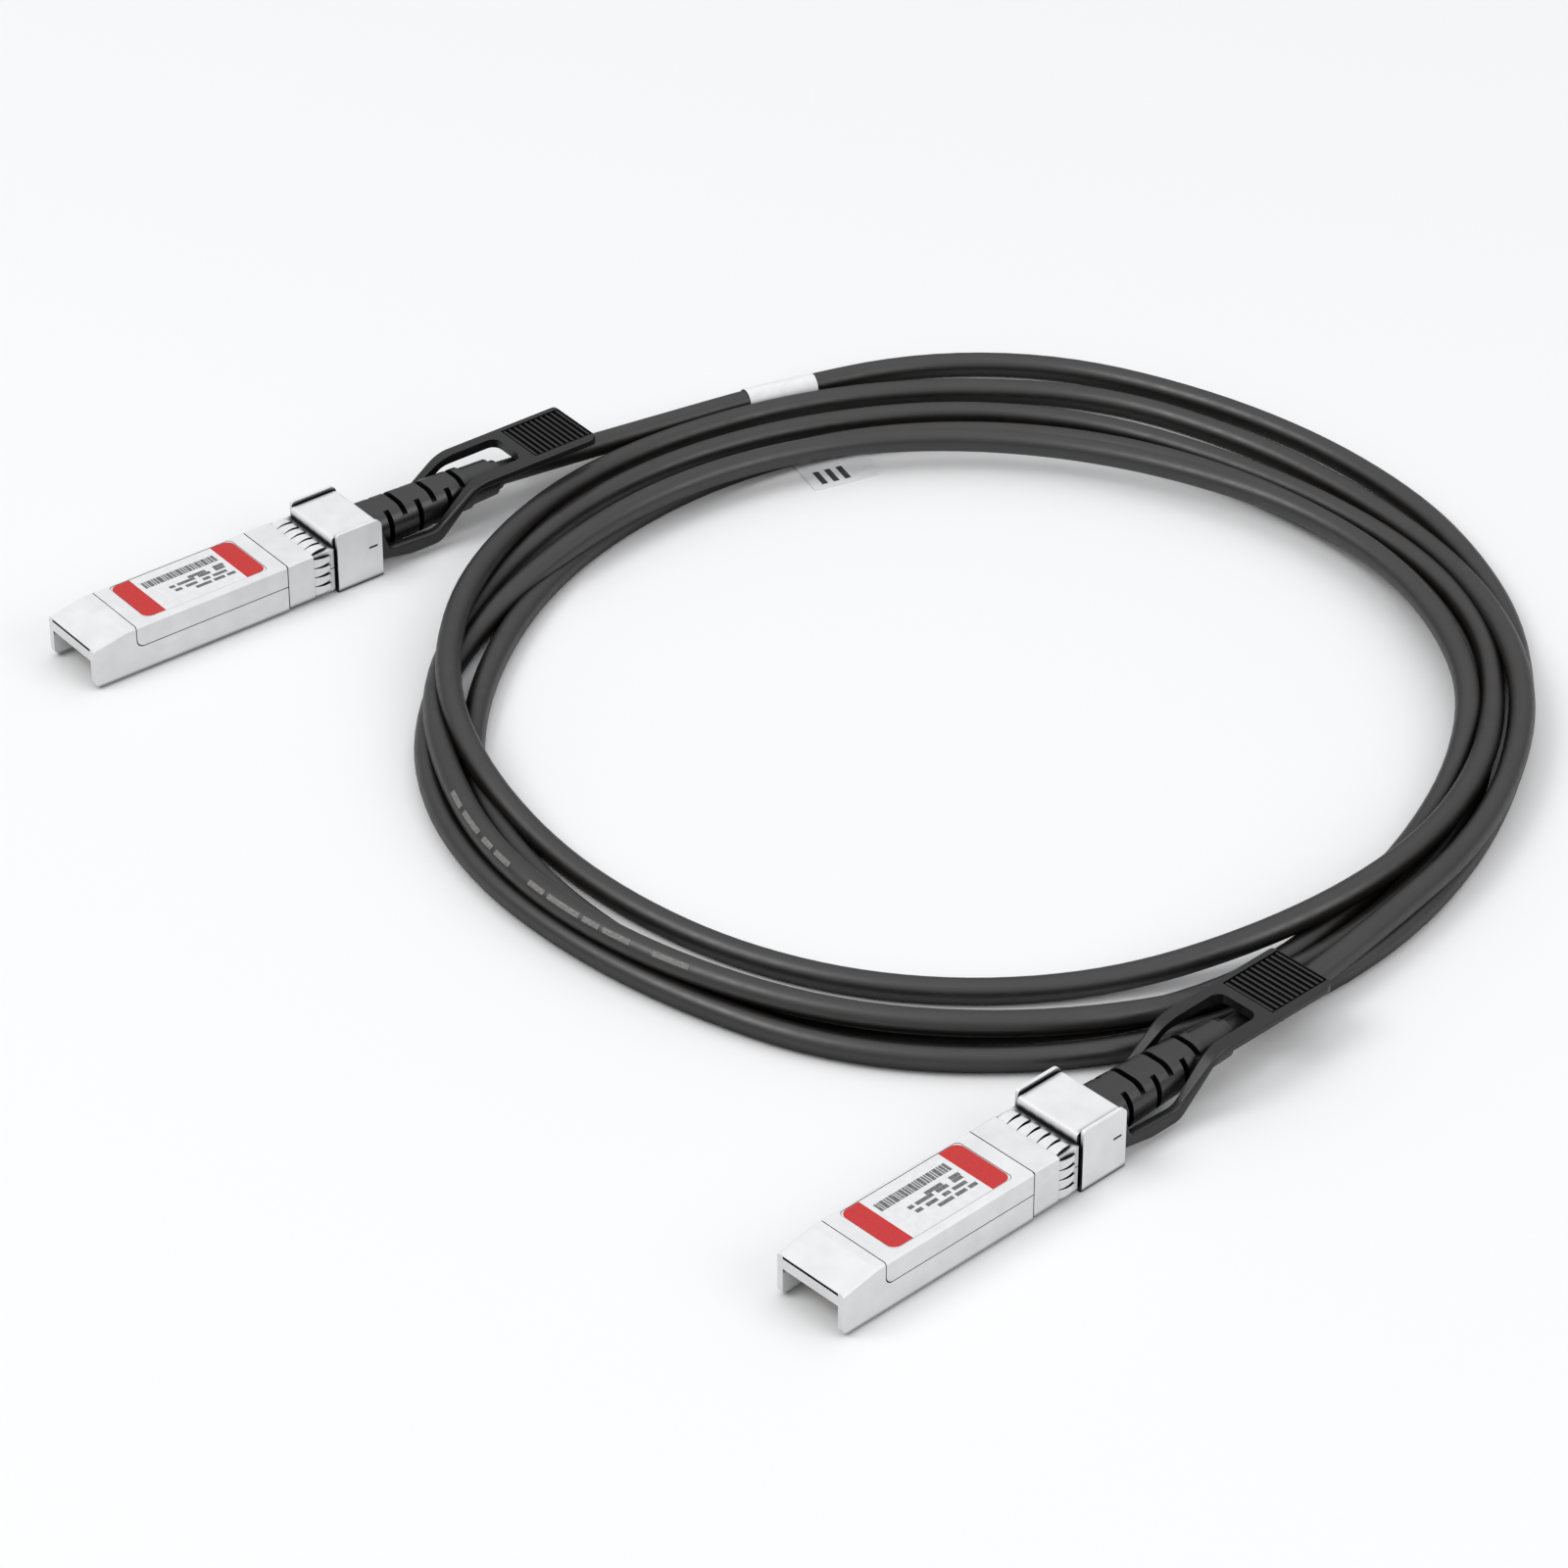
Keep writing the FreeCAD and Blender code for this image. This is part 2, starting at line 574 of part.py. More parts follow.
# ---------------------------------------------------------------- spring-finger collar
def finger_profile(base_height):
    """Side view of one finger, (x, height): flat on the band, bowed out, tip turned back in."""
    start = COLLAR_START_X + COLLAR_BAND
    end = COLLAR_END_X
    crown = (start + end) / 2 + 0.6
    outer = Part.Arc(Vector(start, 0, base_height + COLLAR_SHEET),
                     Vector(crown, 0, base_height + COLLAR_SHEET + COLLAR_BULGE),
                     Vector(end, 0, base_height + COLLAR_SHEET)).toShape()
    inner = Part.Arc(Vector(end, 0, base_height),
                     Vector(crown, 0, base_height + COLLAR_BULGE),
                     Vector(start, 0, base_height)).toShape()
    back = Part.LineSegment(Vector(end, 0, base_height + COLLAR_SHEET), Vector(end, 0, base_height)).toShape()
    front = Part.LineSegment(Vector(start, 0, base_height), Vector(start, 0, base_height + COLLAR_SHEET)).toShape()
    return Part.Face(Part.Wire([outer, back, inner, front]))


def finger_row(span_start, span_end, count, base_height):
    """A row of fingers along y, slit by wedges that widen toward the tips."""
    strip = finger_profile(base_height)
    strip.translate(Vector(0, span_start, 0))
    strip = strip.extrude(Vector(0, span_end - span_start, 0))
    pitch = (span_end - span_start) / count
    x0 = COLLAR_START_X + COLLAR_BAND
    x1 = COLLAR_END_X - TIP_ROUNDING
    x2 = COLLAR_END_X + BEYOND
    flare = SLIT_REAR_WIDTH / 2 + TIP_ROUNDING * (x2 - x1) / TIP_ROUNDING / 2
    for i in range(0, count + 1):
        y = span_start + i * pitch
        wedge = plan_extrusion([
            (x0, y - SLIT_FRONT_WIDTH / 2),
            (x1, y - SLIT_REAR_WIDTH / 2),
            (x2, y - flare),
            (x2, y + flare),
            (x1, y + SLIT_REAR_WIDTH / 2),
            (x0, y + SLIT_FRONT_WIDTH / 2),
        ], base_height - BEYOND, base_height + BEYOND)
        strip = strip.cut(wedge)
    return strip


def emi_collar():
    """Thin sheet folded round the body, with rows of bowed fingers that touch the cage."""
    half_y = HALF_BODY - COLLAR_RECESS
    z0 = BODY_LIFT + COLLAR_RECESS
    z1 = BODY_TOP - COLLAR_RECESS
    outer = block(COLLAR_START_X, COLLAR_START_X + COLLAR_BAND, -half_y - COLLAR_SHEET, half_y + COLLAR_SHEET,
                  z0 - COLLAR_SHEET, z1 + COLLAR_SHEET)
    outer = outer.makeFillet(EDGE_RADIUS, [e for e in outer.Edges if e.BoundBox.XLength > 1])
    core = block(COLLAR_START_X - BEYOND, COLLAR_END_X, -half_y, half_y, z0, z1)
    latch_gap = block(COLLAR_START_X - BEYOND, COLLAR_END_X, -LATCH_WINDOW, LATCH_WINDOW, z0 - BEYOND, z0)
    band = outer.cut(core).cut(latch_gap)

    top = finger_row(-half_y + COLLAR_CORNER, half_y - COLLAR_CORNER, TOP_FINGERS, z1)
    middle_z = (z0 + z1) / 2
    reach = (z1 - z0) / 2 - COLLAR_CORNER
    side = finger_row(-reach, reach, SIDE_FINGERS, half_y)
    side.rotate(Vector(0, 0, 0), Vector(1, 0, 0), 90)
    side.translate(Vector(0, 0, middle_z))
    below = finger_row(LATCH_WINDOW, half_y - COLLAR_CORNER, 2, -z0)
    below = below.mirror(Vector(0, 0, 0), Vector(0, 0, 1))
    return band.fuse([top, both_sides(side), both_sides(below)]).removeSplitter()


# ---------------------------------------------------------------- latch bracket and springs
def latch_bracket():
    """Folded sheet: a floor under the head, a plate on each side, two tines and two spring tabs."""
    floor = block(BRACKET_FRONT, HEAD_REAR, -BRACKET_OUTER, BRACKET_OUTER, 0, SHEET)
    long_edges = [e for e in floor.Edges
                  if e.BoundBox.XLength > 1 and abs(e.BoundBox.ZMin) < 1e-6 and e.BoundBox.ZLength < 1e-6]
    floor = floor.makeFillet(SHEET * 0.8, long_edges)
    plate = side_extrusion([
        (BRACKET_FRONT, SHEET),
        (HEAD_REAR, SHEET),
        (HEAD_REAR, BRACKET_TOP, BRACKET_REAR_RADIUS),
        (BRACKET_FRONT, BRACKET_TOP, BRACKET_FRONT_RADIUS),
    ], BRACKET_INNER, BRACKET_OUTER)
    slit = block(SLIT_X, SLIT_X + SLIT_LENGTH, BRACKET_INNER - BEYOND, BRACKET_OUTER + BEYOND,
                 SLIT_BOTTOM, SLIT_BOTTOM + SLIT_HEIGHT)
    spring_tab = block(SPRING_TAB_START, SPRING_TAB_START + SPRING_TAB, POCKET_INNER + SHEET_GAP,
                       BRACKET_INNER, POCKET_BOTTOM + SHEET_GAP, POCKET_TOP - SHEET_GAP)
    tip = STOP_X - TINE_LENGTH
    tine = side_extrusion([
        (tip, SHEET),
        (BRACKET_FRONT + BEYOND / 2, SHEET),
        (BRACKET_FRONT + BEYOND / 2, SHEET - TINE_THICKNESS),
        (tip + 1.9, SHEET - TINE_THICKNESS),
        (tip + 1.4, 0.02),
        (tip + 0.8, 0.02),
        (tip, SHEET - TINE_THICKNESS / 2),
    ], TINE_INNER, TINE_INNER + TINE_WIDTH)
    side = plate.cut(slit).fuse([spring_tab, tine])
    return floor.fuse(both_sides(side)).removeSplitter()


def return_springs():
    """Two compression springs between the bracket's tabs and the rear of the head's pockets."""
    front = SPRING_TAB_START + SPRING_TAB
    mean_radius = (SPRING_DIAMETER - SPRING_WIRE) / 2
    axis_y = (POCKET_INNER + HEAD_HALF_WIDTH) / 2
    length = POCKET_END - front - SPRING_WIRE
    helix = Part.makeHelix(length / SPRING_TURNS, length, mean_radius)
    ring = Part.Wire(Part.makeCircle(SPRING_WIRE / 2, Vector(mean_radius, 0, 0), Vector(0, 1, 0)))
    spring = Part.Wire(helix.Edges).makePipeShell([ring], True, True)
    spring.rotate(Vector(0, 0, 0), Vector(0, 1, 0), 90)
    spring.translate(Vector(front + SPRING_WIRE / 2, axis_y, SPRING_Z))
    return Part.makeCompound([spring, spring.mirror(Vector(0, 0, 0), Vector(0, 1, 0))])


# ---------------------------------------------------------------- card and cord anchorage
def circuit_board():
    """The card, its front corners clipped."""
    half = CARD_WIDTH / 2
    x0, x1 = CARD_SETBACK, CARD_SETBACK + CARD_LENGTH
    clip = 0.6
    return plan_extrusion([
        (x0, -half + clip), (x0 + clip, -half), (x1, -half),
        (x1, half), (x0 + clip, half), (x0, half - clip),
    ], CARD_BOTTOM, CARD_TOP)


def edge_contacts():
    """Gold contacts on both faces of the card's front edge."""
    x0 = CARD_SETBACK + CONTACT_SETBACK
    pads = []
    for i in range(CONTACT_COUNT):
        y = (i - (CONTACT_COUNT - 1) / 2) * CONTACT_PITCH
        for z0 in (CARD_TOP, CARD_BOTTOM - CONTACT_THICKNESS):
            pads.append(block(x0, x0 + CONTACT_LENGTH, y - CONTACT_WIDTH / 2, y + CONTACT_WIDTH / 2,
                              z0, z0 + CONTACT_THICKNESS))
    return Part.makeCompound(pads)


def memory_chip():
    """The small memory on the card, with four legs on each side."""
    half = CHIP_SIZE / 2
    chip = block(CHIP_X, CHIP_X + CHIP_SIZE, -half, half, CARD_TOP + CHIP_LEG / 4, CARD_TOP + CHIP_HEIGHT)
    legs = []
    for i in range(4):
        x = CHIP_X + CHIP_SIZE * (i + 0.5) / 4 - CHIP_LEG / 2
        legs.append(block(x, x + CHIP_LEG, -half - CHIP_LEG, half + CHIP_LEG,
                          CARD_TOP, CARD_TOP + CHIP_LEG))
    return chip.fuse(legs).removeSplitter()


def wire_pairs():
    """Two pairs of insulated cores, one pair soldered to each face of the card."""
    card_end = CARD_SETBACK + CARD_LENGTH
    cores = []
    for card_z, bore_z in ((CARD_TOP + CORE_DIAMETER / 2, CORD_AXIS_Z + CORE_SPACING / 3),
                           (CARD_BOTTOM - CORE_DIAMETER / 2, CORD_AXIS_Z - CORE_SPACING / 3)):
        for side in (-1, 1):
            points = [
                (card_end - 2.5, side * CORE_SPACING / 2, card_z),
                (card_end + 2.5, side * CORE_SPACING / 2, card_z),
                (FERRULE_START_X - 3.0, side * CORE_DIAMETER * 0.6, bore_z),
                (FLANGE_START, side * CORE_DIAMETER * 0.6, bore_z),
            ]
            edges, _ = route_edges(points)
            cores.append(sweep_round(edges, CORE_DIAMETER))
    return Part.makeCompound(cores)


def shield_ferrule():
    """Crimp ring round the cord's braid, with two crimp grooves."""
    ring = rod(FERRULE_START_X, FLANGE_START, FERRULE_DIAMETER)
    ring = ring.cut(rod(FERRULE_START_X, FLANGE_START, FERRULE_BORE))
    length = FLANGE_START - FERRULE_START_X
    for share in (0.3, 0.7):
        x = FERRULE_START_X + share * length
        groove = rod(x - 0.4, x + 0.4, FERRULE_DIAMETER + BEYOND).cut(
            rod(x - 0.4, x + 0.4, FERRULE_DIAMETER - 0.4))
        ring = ring.cut(groove)
    return ring


def strain_relief():
    """Moulded boot: a flange and neck held in the head, a tapered body with staggered flex slots."""
    taper = Part.makeLoft([
        section_wire(BOOT_X, BOOT_ROOT_WIDTH, BOOT_ROOT_HEIGHT, CORD_AXIS_Z, BOOT_CORNER),
        section_wire(BOOT_TAPER_END, BOOT_TIP_WIDTH, BOOT_TIP_HEIGHT, CORD_AXIS_Z, BOOT_CORNER),
    ], True, True)
    for i in range(FLEX_SLOTS):
        side_x = BOOT_X + FLEX_START + 2 * i * FLEX_PITCH
        top_x = side_x + FLEX_PITCH
        side_cut = block(side_x, side_x + FLEX_SLOT_WIDTH, FLEX_CORE_HALF_WIDTH, BOOT_ROOT_WIDTH,
                         0, CORD_AXIS_Z + BOOT_ROOT_HEIGHT)
        top_cut = block(top_x, top_x + FLEX_SLOT_WIDTH, -BOOT_ROOT_WIDTH, BOOT_ROOT_WIDTH,
                        CORD_AXIS_Z + FLEX_CORE_HALF_HEIGHT, CORD_AXIS_Z + BOOT_ROOT_HEIGHT)
        low_cut = block(top_x, top_x + FLEX_SLOT_WIDTH, -BOOT_ROOT_WIDTH, BOOT_ROOT_WIDTH,
                        CORD_AXIS_Z - BOOT_ROOT_HEIGHT, CORD_AXIS_Z - FLEX_CORE_HALF_HEIGHT)
        taper = taper.cut(both_sides(side_cut)).cut(top_cut).cut(low_cut)
    sleeve_width = BOOT_TIP_WIDTH - 2 * SLEEVE_STEP
    sleeve_height = BOOT_TIP_HEIGHT - 2 * SLEEVE_STEP
    sleeve = Part.makeLoft([
        section_wire(BOOT_TAPER_END, sleeve_width, sleeve_height, CORD_AXIS_Z, BOOT_CORNER),
        section_wire(SLEEVE_END, sleeve_width - SLEEVE_STEP, sleeve_height - SLEEVE_STEP, CORD_AXIS_Z, BOOT_CORNER),
    ], True, True)
    collet = rod(SLEEVE_END, SLEEVE_END + COLLET_LENGTH, COLLET_DIAMETER)
    flange = rod(FLANGE_START, FLANGE_END, FLANGE_DIAMETER)
    neck = rod(FLANGE_END, BOOT_X, NECK_DIAMETER)
    return taper.fuse([sleeve, collet, flange, neck]).removeSplitter()


# ---------------------------------------------------------------- pull tab
def pull_tab():
    """Moulded tab: two roots hooked into the bracket, two arms that dip and rise, and a plate with ridges."""
    top = TAB_PLATE_BOTTOM + TAB_PLATE_THICKNESS
    arm_top = TAB_ARM_BOTTOM + TAB_ARM_HEIGHT
    side_view = side_extrusion([
        (TAB_ROOT_X, TAB_ROOT_BOTTOM),
        (HEAD_REAR + 0.8, TAB_ROOT_BOTTOM, 1.5),
        (HEAD_REAR + 6.5, TAB_ARM_BOTTOM, 8.0),
        (HEAD_REAR + 12.5, TAB_ARM_BOTTOM, 3.5),
        (HEAD_REAR + 20.2, TAB_PLATE_BOTTOM, 3.5),
        (TAB_REAR_X, TAB_PLATE_BOTTOM, TAB_PLATE_THICKNESS * 0.3),
        (TAB_REAR_X, top, TAB_PLATE_THICKNESS * 0.5),
        (HEAD_REAR + 20.5, top, 7.0),
        (HEAD_REAR + 11.9, arm_top, 4.0),
        (HEAD_REAR + 2.0, arm_top + 0.5, 1.2),
        (HEAD_REAR + 0.7, TAB_ROOT_TOP, 0.6),
        (TAB_ROOT_X, TAB_ROOT_TOP, 0.6),
    ], -TAB_HALF_WIDTH, TAB_HALF_WIDTH)
    half_plan = [
        (TAB_ROOT_X, TAB_HALF_WIDTH),
        (TAB_REAR_X, TAB_HALF_WIDTH, TAB_CORNER_RADIUS),
    ]
    outline = half_plan + [(x, -y, *r) for x, y, *r in reversed(half_plan)]
    half_window = [
        (TAB_ROOT_X - BEYOND, TAB_ROOT_INNER),
        (HEAD_REAR + 12.0, TAB_ROOT_INNER, 9.0),
        (HEAD_REAR + 21.0, TAB_WINDOW_HALF_WIDTH, 9.0),
        (TAB_WINDOW_END_X, TAB_WINDOW_HALF_WIDTH, 1.7),
    ]
    window = half_window + [(x, -y, *r) for x, y, *r in reversed(half_window)]
    tab = soften_sides(side_view).common(plan_extrusion(outline, 0, top)).cut(plan_extrusion(window, 0, top))
    panel_end = RIDGE_START_X + (RIDGES - 1) * RIDGE_PITCH + RIDGE_WIDTH + PANEL_MARGIN
    panel_half = RIDGE_LENGTH / 2 + PANEL_MARGIN
    tab = tab.cut(block(RIDGE_START_X - PANEL_MARGIN, panel_end, -panel_half, panel_half,
                        top - PANEL_DEPTH, top + BEYOND))
    extras = [both_sides(block(
        SLIT_X + SLIT_CLEARANCE, SLIT_X + SLIT_LENGTH - SLIT_CLEARANCE, BRACKET_INNER - SHEET,
        BRACKET_OUTER - SLIT_CLEARANCE, SLIT_BOTTOM + SLIT_CLEARANCE,
        SLIT_BOTTOM + SLIT_HEIGHT - SLIT_CLEARANCE))]
    for i in range(RIDGES):
        x = RIDGE_START_X + i * RIDGE_PITCH
        extras.append(side_extrusion([
            (x, top - PANEL_DEPTH - RIDGE_DROP),
            (x + RIDGE_WIDTH, top - PANEL_DEPTH - RIDGE_DROP),
            (x + RIDGE_WIDTH, top - RIDGE_DROP, RIDGE_WIDTH * 0.3),
            (x, top - RIDGE_DROP, RIDGE_WIDTH * 0.3),
        ], -RIDGE_LENGTH / 2, RIDGE_LENGTH / 2))
    return tab.fuse(extras).removeSplitter()


def soften_sides(tab):
    """Round the long outer edges of the arms and the plate."""
    chosen = [edge for edge in tab.Edges
              if edge.BoundBox.YLength < 1e-6 and edge.BoundBox.XMin > HEAD_REAR + 1.9
              and edge.BoundBox.XMax < TAB_REAR_X - 1e-3 and edge.BoundBox.XLength > 1.5]
    return tab.makeFillet(TAB_EDGE_RADIUS, chosen)


# ---------------------------------------------------------------- cord
def cord_tail(name, points):
    """A free end of the cord; its volume is compared with its section times its length."""
    edges, radii = route_edges(points)
    tube = sweep_round(edges, CORD_DIAMETER)
    length = sum(e.Length for e in edges)
    expected = math.pi * CORD_DIAMETER ** 2 / 4 * length
    print(name, "length", round(length, 1), "radii", radii, "volume ratio", round(tube.Volume / expected, 5))
    return tube


def flag_arc():
    """The part of the route that the flag is wrapped round."""
    bend = 3                    # the route's bend that the flag is wrapped round
    edges, _ = route_edges(TAIL_A_POINTS)
    arc = edges[2 * bend - 1]
    spare = (arc.Length - FLAG_WIDTH) / 2
    stations = [arc.getParameterByLength(spare + share * FLAG_WIDTH) for share in (0.0, 0.5, 1.0)]
    return [arc.valueAt(s) for s in stations]


def length_flag(cord):
    """White vinyl wrapped once round the cord, its two ends stuck together and lying on the surface."""
    start, middle, end = flag_arc()
    wrap = sweep_round([Part.Arc(start, middle, end).toShape()], CORD_DIAMETER + 2 * FLAG_SHEET)
    along = Vector(end.x - start.x, end.y - start.y, 0).normalize()
    across = Vector(along.y, -along.x, 0)
    corner = Vector(start.x, start.y, 0)
    outline = [corner, corner + along * FLAG_WIDTH, corner + along * FLAG_WIDTH + across * FLAG_REACH,
               corner + across * FLAG_REACH, corner]
    tail = Part.Face(Part.makePolygon(outline)).extrude(Vector(0, 0, FLAG_TAIL_THICKNESS))
    return wrap.fuse(tail).cut(cord).removeSplitter()


def cable_coil(flag):
    """The outer shape of the coiled turns: a low ring with rounded edges, clear of the flag."""
    half = (COIL_OUTER_RADIUS - COIL_INNER_RADIUS) / 2
    middle = COIL_CENTRE.x + (COIL_OUTER_RADIUS + COIL_INNER_RADIUS) / 2
    section = rounded_wire([
        (middle - half, 0, COIL_EDGE_RADIUS),
        (middle + half, 0, COIL_EDGE_RADIUS),
        (middle + half, COIL_HEIGHT, COIL_EDGE_RADIUS),
        (middle - half, COIL_HEIGHT, COIL_EDGE_RADIUS),
    ], lambda p: Vector(p.x, COIL_CENTRE.y, p.y))
    ring = Part.Face(section).revolve(COIL_CENTRE, Vector(0, 0, 1), 360)
    return ring.cut(flag)


# ---------------------------------------------------------------- the whole cable
PLUG_PIECES = {
    "housing_base": housing_base,
    "housing_cover": housing_cover,
    "emi_collar": emi_collar,
    "latch_bracket": latch_bracket,
    "return_springs": return_springs,
    "circuit_board": circuit_board,
    "edge_contacts": edge_contacts,
    "memory_chip": memory_chip,
    "wire_pairs": wire_pairs,
    "shield_ferrule": shield_ferrule,
    "strain_relief": strain_relief,
    "pull_tab": pull_tab,
    "label": label,
    "screws": screws,
}


def set_in_place(shape, side):
    """A copy of a plug's piece where that plug lies."""
    position, turn = PLUG_PLACES[side]
    placed = shape.copy()
    placed.Placement = FreeCAD.Placement(position, Rotation(Vector(0, 0, 1), turn)).multiply(placed.Placement)
    return placed


def main():
    os.makedirs("parts", exist_ok=True)
    nodes = {}
    for piece, make in PLUG_PIECES.items():
        shape = make()
        for side in PLUG_PLACES:
            nodes["plug_" + side + "_" + piece] = set_in_place(shape, side)
    nodes["cable_tail_a"] = cord_tail("tail a", TAIL_A_POINTS)
    nodes["cable_tail_b"] = cord_tail("tail b", TAIL_B_POINTS)
    nodes["length_flag"] = length_flag(nodes["cable_tail_a"])
    nodes["cable_coil"] = cable_coil(nodes["length_flag"])
    for name, shape in nodes.items():
        shape.exportStep("parts/" + name + ".step")
        print(name, shape.isValid(), len(shape.Solids), round(shape.Volume, 2))


main()
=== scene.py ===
import bpy, bmesh, json, math
from mathutils import Matrix, Vector


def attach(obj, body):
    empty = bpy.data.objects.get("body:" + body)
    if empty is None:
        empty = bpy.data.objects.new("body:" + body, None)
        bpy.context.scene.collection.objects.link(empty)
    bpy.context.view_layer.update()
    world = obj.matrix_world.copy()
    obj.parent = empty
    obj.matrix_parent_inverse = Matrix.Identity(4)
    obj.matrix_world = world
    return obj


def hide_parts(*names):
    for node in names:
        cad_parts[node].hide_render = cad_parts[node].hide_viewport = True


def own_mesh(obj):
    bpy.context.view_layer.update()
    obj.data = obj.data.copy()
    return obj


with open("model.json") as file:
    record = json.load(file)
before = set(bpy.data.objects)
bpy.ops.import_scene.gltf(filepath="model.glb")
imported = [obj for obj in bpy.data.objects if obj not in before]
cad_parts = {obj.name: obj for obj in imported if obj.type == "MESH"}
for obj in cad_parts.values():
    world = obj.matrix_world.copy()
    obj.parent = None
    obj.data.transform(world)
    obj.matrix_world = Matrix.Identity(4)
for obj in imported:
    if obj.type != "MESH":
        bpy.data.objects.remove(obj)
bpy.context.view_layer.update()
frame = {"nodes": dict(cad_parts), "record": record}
MM = 0.001
nodes = frame["nodes"]

# Where each plug's nose stands, in millimetres, and how far the plug is turned, in degrees
PLUG_PLACES = {"a": ((-48.05, 100.96), 0.0), "b": ((-53.79, -102.26), 5.5)}


def set_down(place, turn):
    """From a frame in millimetres that stands at a place, turned about z, to the row frame in metres."""
    x, y = place
    turned = Matrix.Rotation(math.radians(turn), 4, "Z")
    return Matrix.Translation((x * MM, y * MM, 0)) @ turned @ Matrix.Scale(MM, 4)


def plug_matrix(plug):
    """From a plug's own frame, nose end to rear along x, to the row frame."""
    return set_down(*PLUG_PLACES[plug])


def show(name, data):
    """A new object with this data, in the scene."""
    made = bpy.data.objects.new(name, data)
    bpy.context.scene.collection.objects.link(made)
    return made


def face_towards(made, target):
    """Turn a camera or a lamp to look at a place."""
    made.rotation_euler = (target - made.location).to_track_quat("-Z", "Y").to_euler()


# ---------------------------------------------------------------- camera

AIM = Vector((24.42, 4.24, 0.0)) * MM
CAMERA_PLACE = Vector((-460.7, -618.9, 551.5)) * MM
CAMERA_LENS, CAMERA_SENSOR = 138.3, 36.0


def studio_camera():
    """A long lens that looks down across the coil from plug b's side."""
    data = bpy.data.cameras.new("studio_camera")
    data.sensor_width = CAMERA_SENSOR
    data.lens = CAMERA_LENS
    data.clip_start = 0.05
    data.clip_end = 50.0
    camera = show("studio_camera", data)
    camera.location = CAMERA_PLACE
    face_towards(camera, AIM)
    bpy.context.scene.camera = camera


studio_camera()

# ---------------------------------------------------------------- cord

CORD_DIAMETER = 4.2
CORD_RADIUS = CORD_DIAMETER / 2
LYING = CORD_RADIUS             # the centreline's height where the cord lies on the floor
COIL_CENTRE = (61.4, 0.1)
COIL_BEARING = -37.9            # where a turn's bearing of 0 points, in degrees from +x
COIL_STEP = 15
TAIL_A = [
    (37.25, 100.96, 5.7), (47.95, 100.96, 4.7), (70.0, 100.75, 2.5), (95.5, 97.2, 2.2), (120.6, 90.3, 2.1),
    (140.2, 74.4, 2.1), (152.2, 51.6, 2.1), (158.6, 27.0, 2.1), (159.0, 3.0, 2.1), (154.7, -16.4, 2.1),
]
TAIL_B = [(46.7, -92.4, 5.4), (37.79, -93.44, 5.5), (31.12, -94.085, 5.7)]
# Each turn of the coil, clockwise: its first bearing, then the radius at every step,
# with the height too where the cord is lifted off the floor
COIL_TURNS = [
    (15, [91.2, 87.9, 85.9, 86.2, 88.2, 90.8, 93.4, 94.5, 94.5, 91.6, 90.7, 91.3, 91.0, 88.8, 85.0]),
    (150, [(80.3, 5.0), (78.8, 5.7), (78.2, 5.7), (77.4, 5.7), (76.0, 5.7), (75.2, 5.7), (75.3, 5.7),
           (76.8, 5.7), (78.0, 5.7), (78.6, 5.5), (79.3, 5.0), (77.8, 3.5), 76.9, 78.5, 83.5, 86.5, 87.4,
           88.0, 87.4, 85.4, 84.3, 84.0, 81.2, 79.8]),
    (150, [79.8, 80.4, 82.0, 83.8, 84.0, 83.5, 82.5, 81.5, 81.5, 81.2, 80.8, 81.5, 81.8, 83.5, (87.5, 3.2),
           (89.6, 5.2), (90.0, 5.5), (90.2, 5.5), (89.4, 5.7), (89.2, 5.6), (89.0, 5.5), (87.9, 5.3),
           (88.3, 3.6), 87.8]),
    (150, [88.0, 89.3, 90.0, 90.3, 90.8, 89.4, 86.4, 85.6, 86.2, (85.7, 2.6), (82.9, 4.0), (81.9, 5.7),
           (81.0, 6.2), (79.8, 6.2), (78.4, 5.0), (77.2, 2.6), 77.4, 78.0, 78.0, 78.1, 79.3, (83.2, 5.2),
           (86.1, 6.5), (88.2, 6.5)]),
    (150, [(90.9, 4.9), (94.5, 3.0), 96.6, 98.0, 98.5, 98.3, 94.2, 91.3, 90.3, (88.6, 4.1), (87.9, 5.0),
           (86.7, 5.0), (86.5, 5.2), (87.2, 5.8)]),
]


def coil_points():
    """The coil's control points. The spline runs inside them, so they stand a little further out."""
    grow = 1 / (0.75 + 0.25 * math.cos(math.radians(COIL_STEP)))
    points = []
    for first, lanes in COIL_TURNS:
        for step, lane in enumerate(lanes):
            radius, height = lane if isinstance(lane, tuple) else (lane, LYING)
            bearing = math.radians(first - COIL_STEP * step + COIL_BEARING)
            points.append((COIL_CENTRE[0] + radius * grow * math.cos(bearing),
                           COIL_CENTRE[1] + radius * grow * math.sin(bearing), height))
    return points


def lay_cord():
    """The whole cord as one round spline, from plug a's strain relief to plug b's."""
    curve = bpy.data.curves.new("twinax_cord", "CURVE")
    curve.dimensions = "3D"
    route = TAIL_A + coil_points() + TAIL_B
    spline = curve.splines.new("NURBS")
    spline.points.add(len(route) - 1)
    for point, place in zip(spline.points, route):
        point.co = (place[0] * MM, place[1] * MM, place[2] * MM, 1.0)
    spline.order_u = 3
    spline.use_endpoint_u = True
    spline.resolution_u = 6
    curve.bevel_depth = CORD_RADIUS * MM
    curve.bevel_resolution = 6
    curve.use_fill_caps = True
    return show("twinax_cord", curve)


cord = lay_cord()


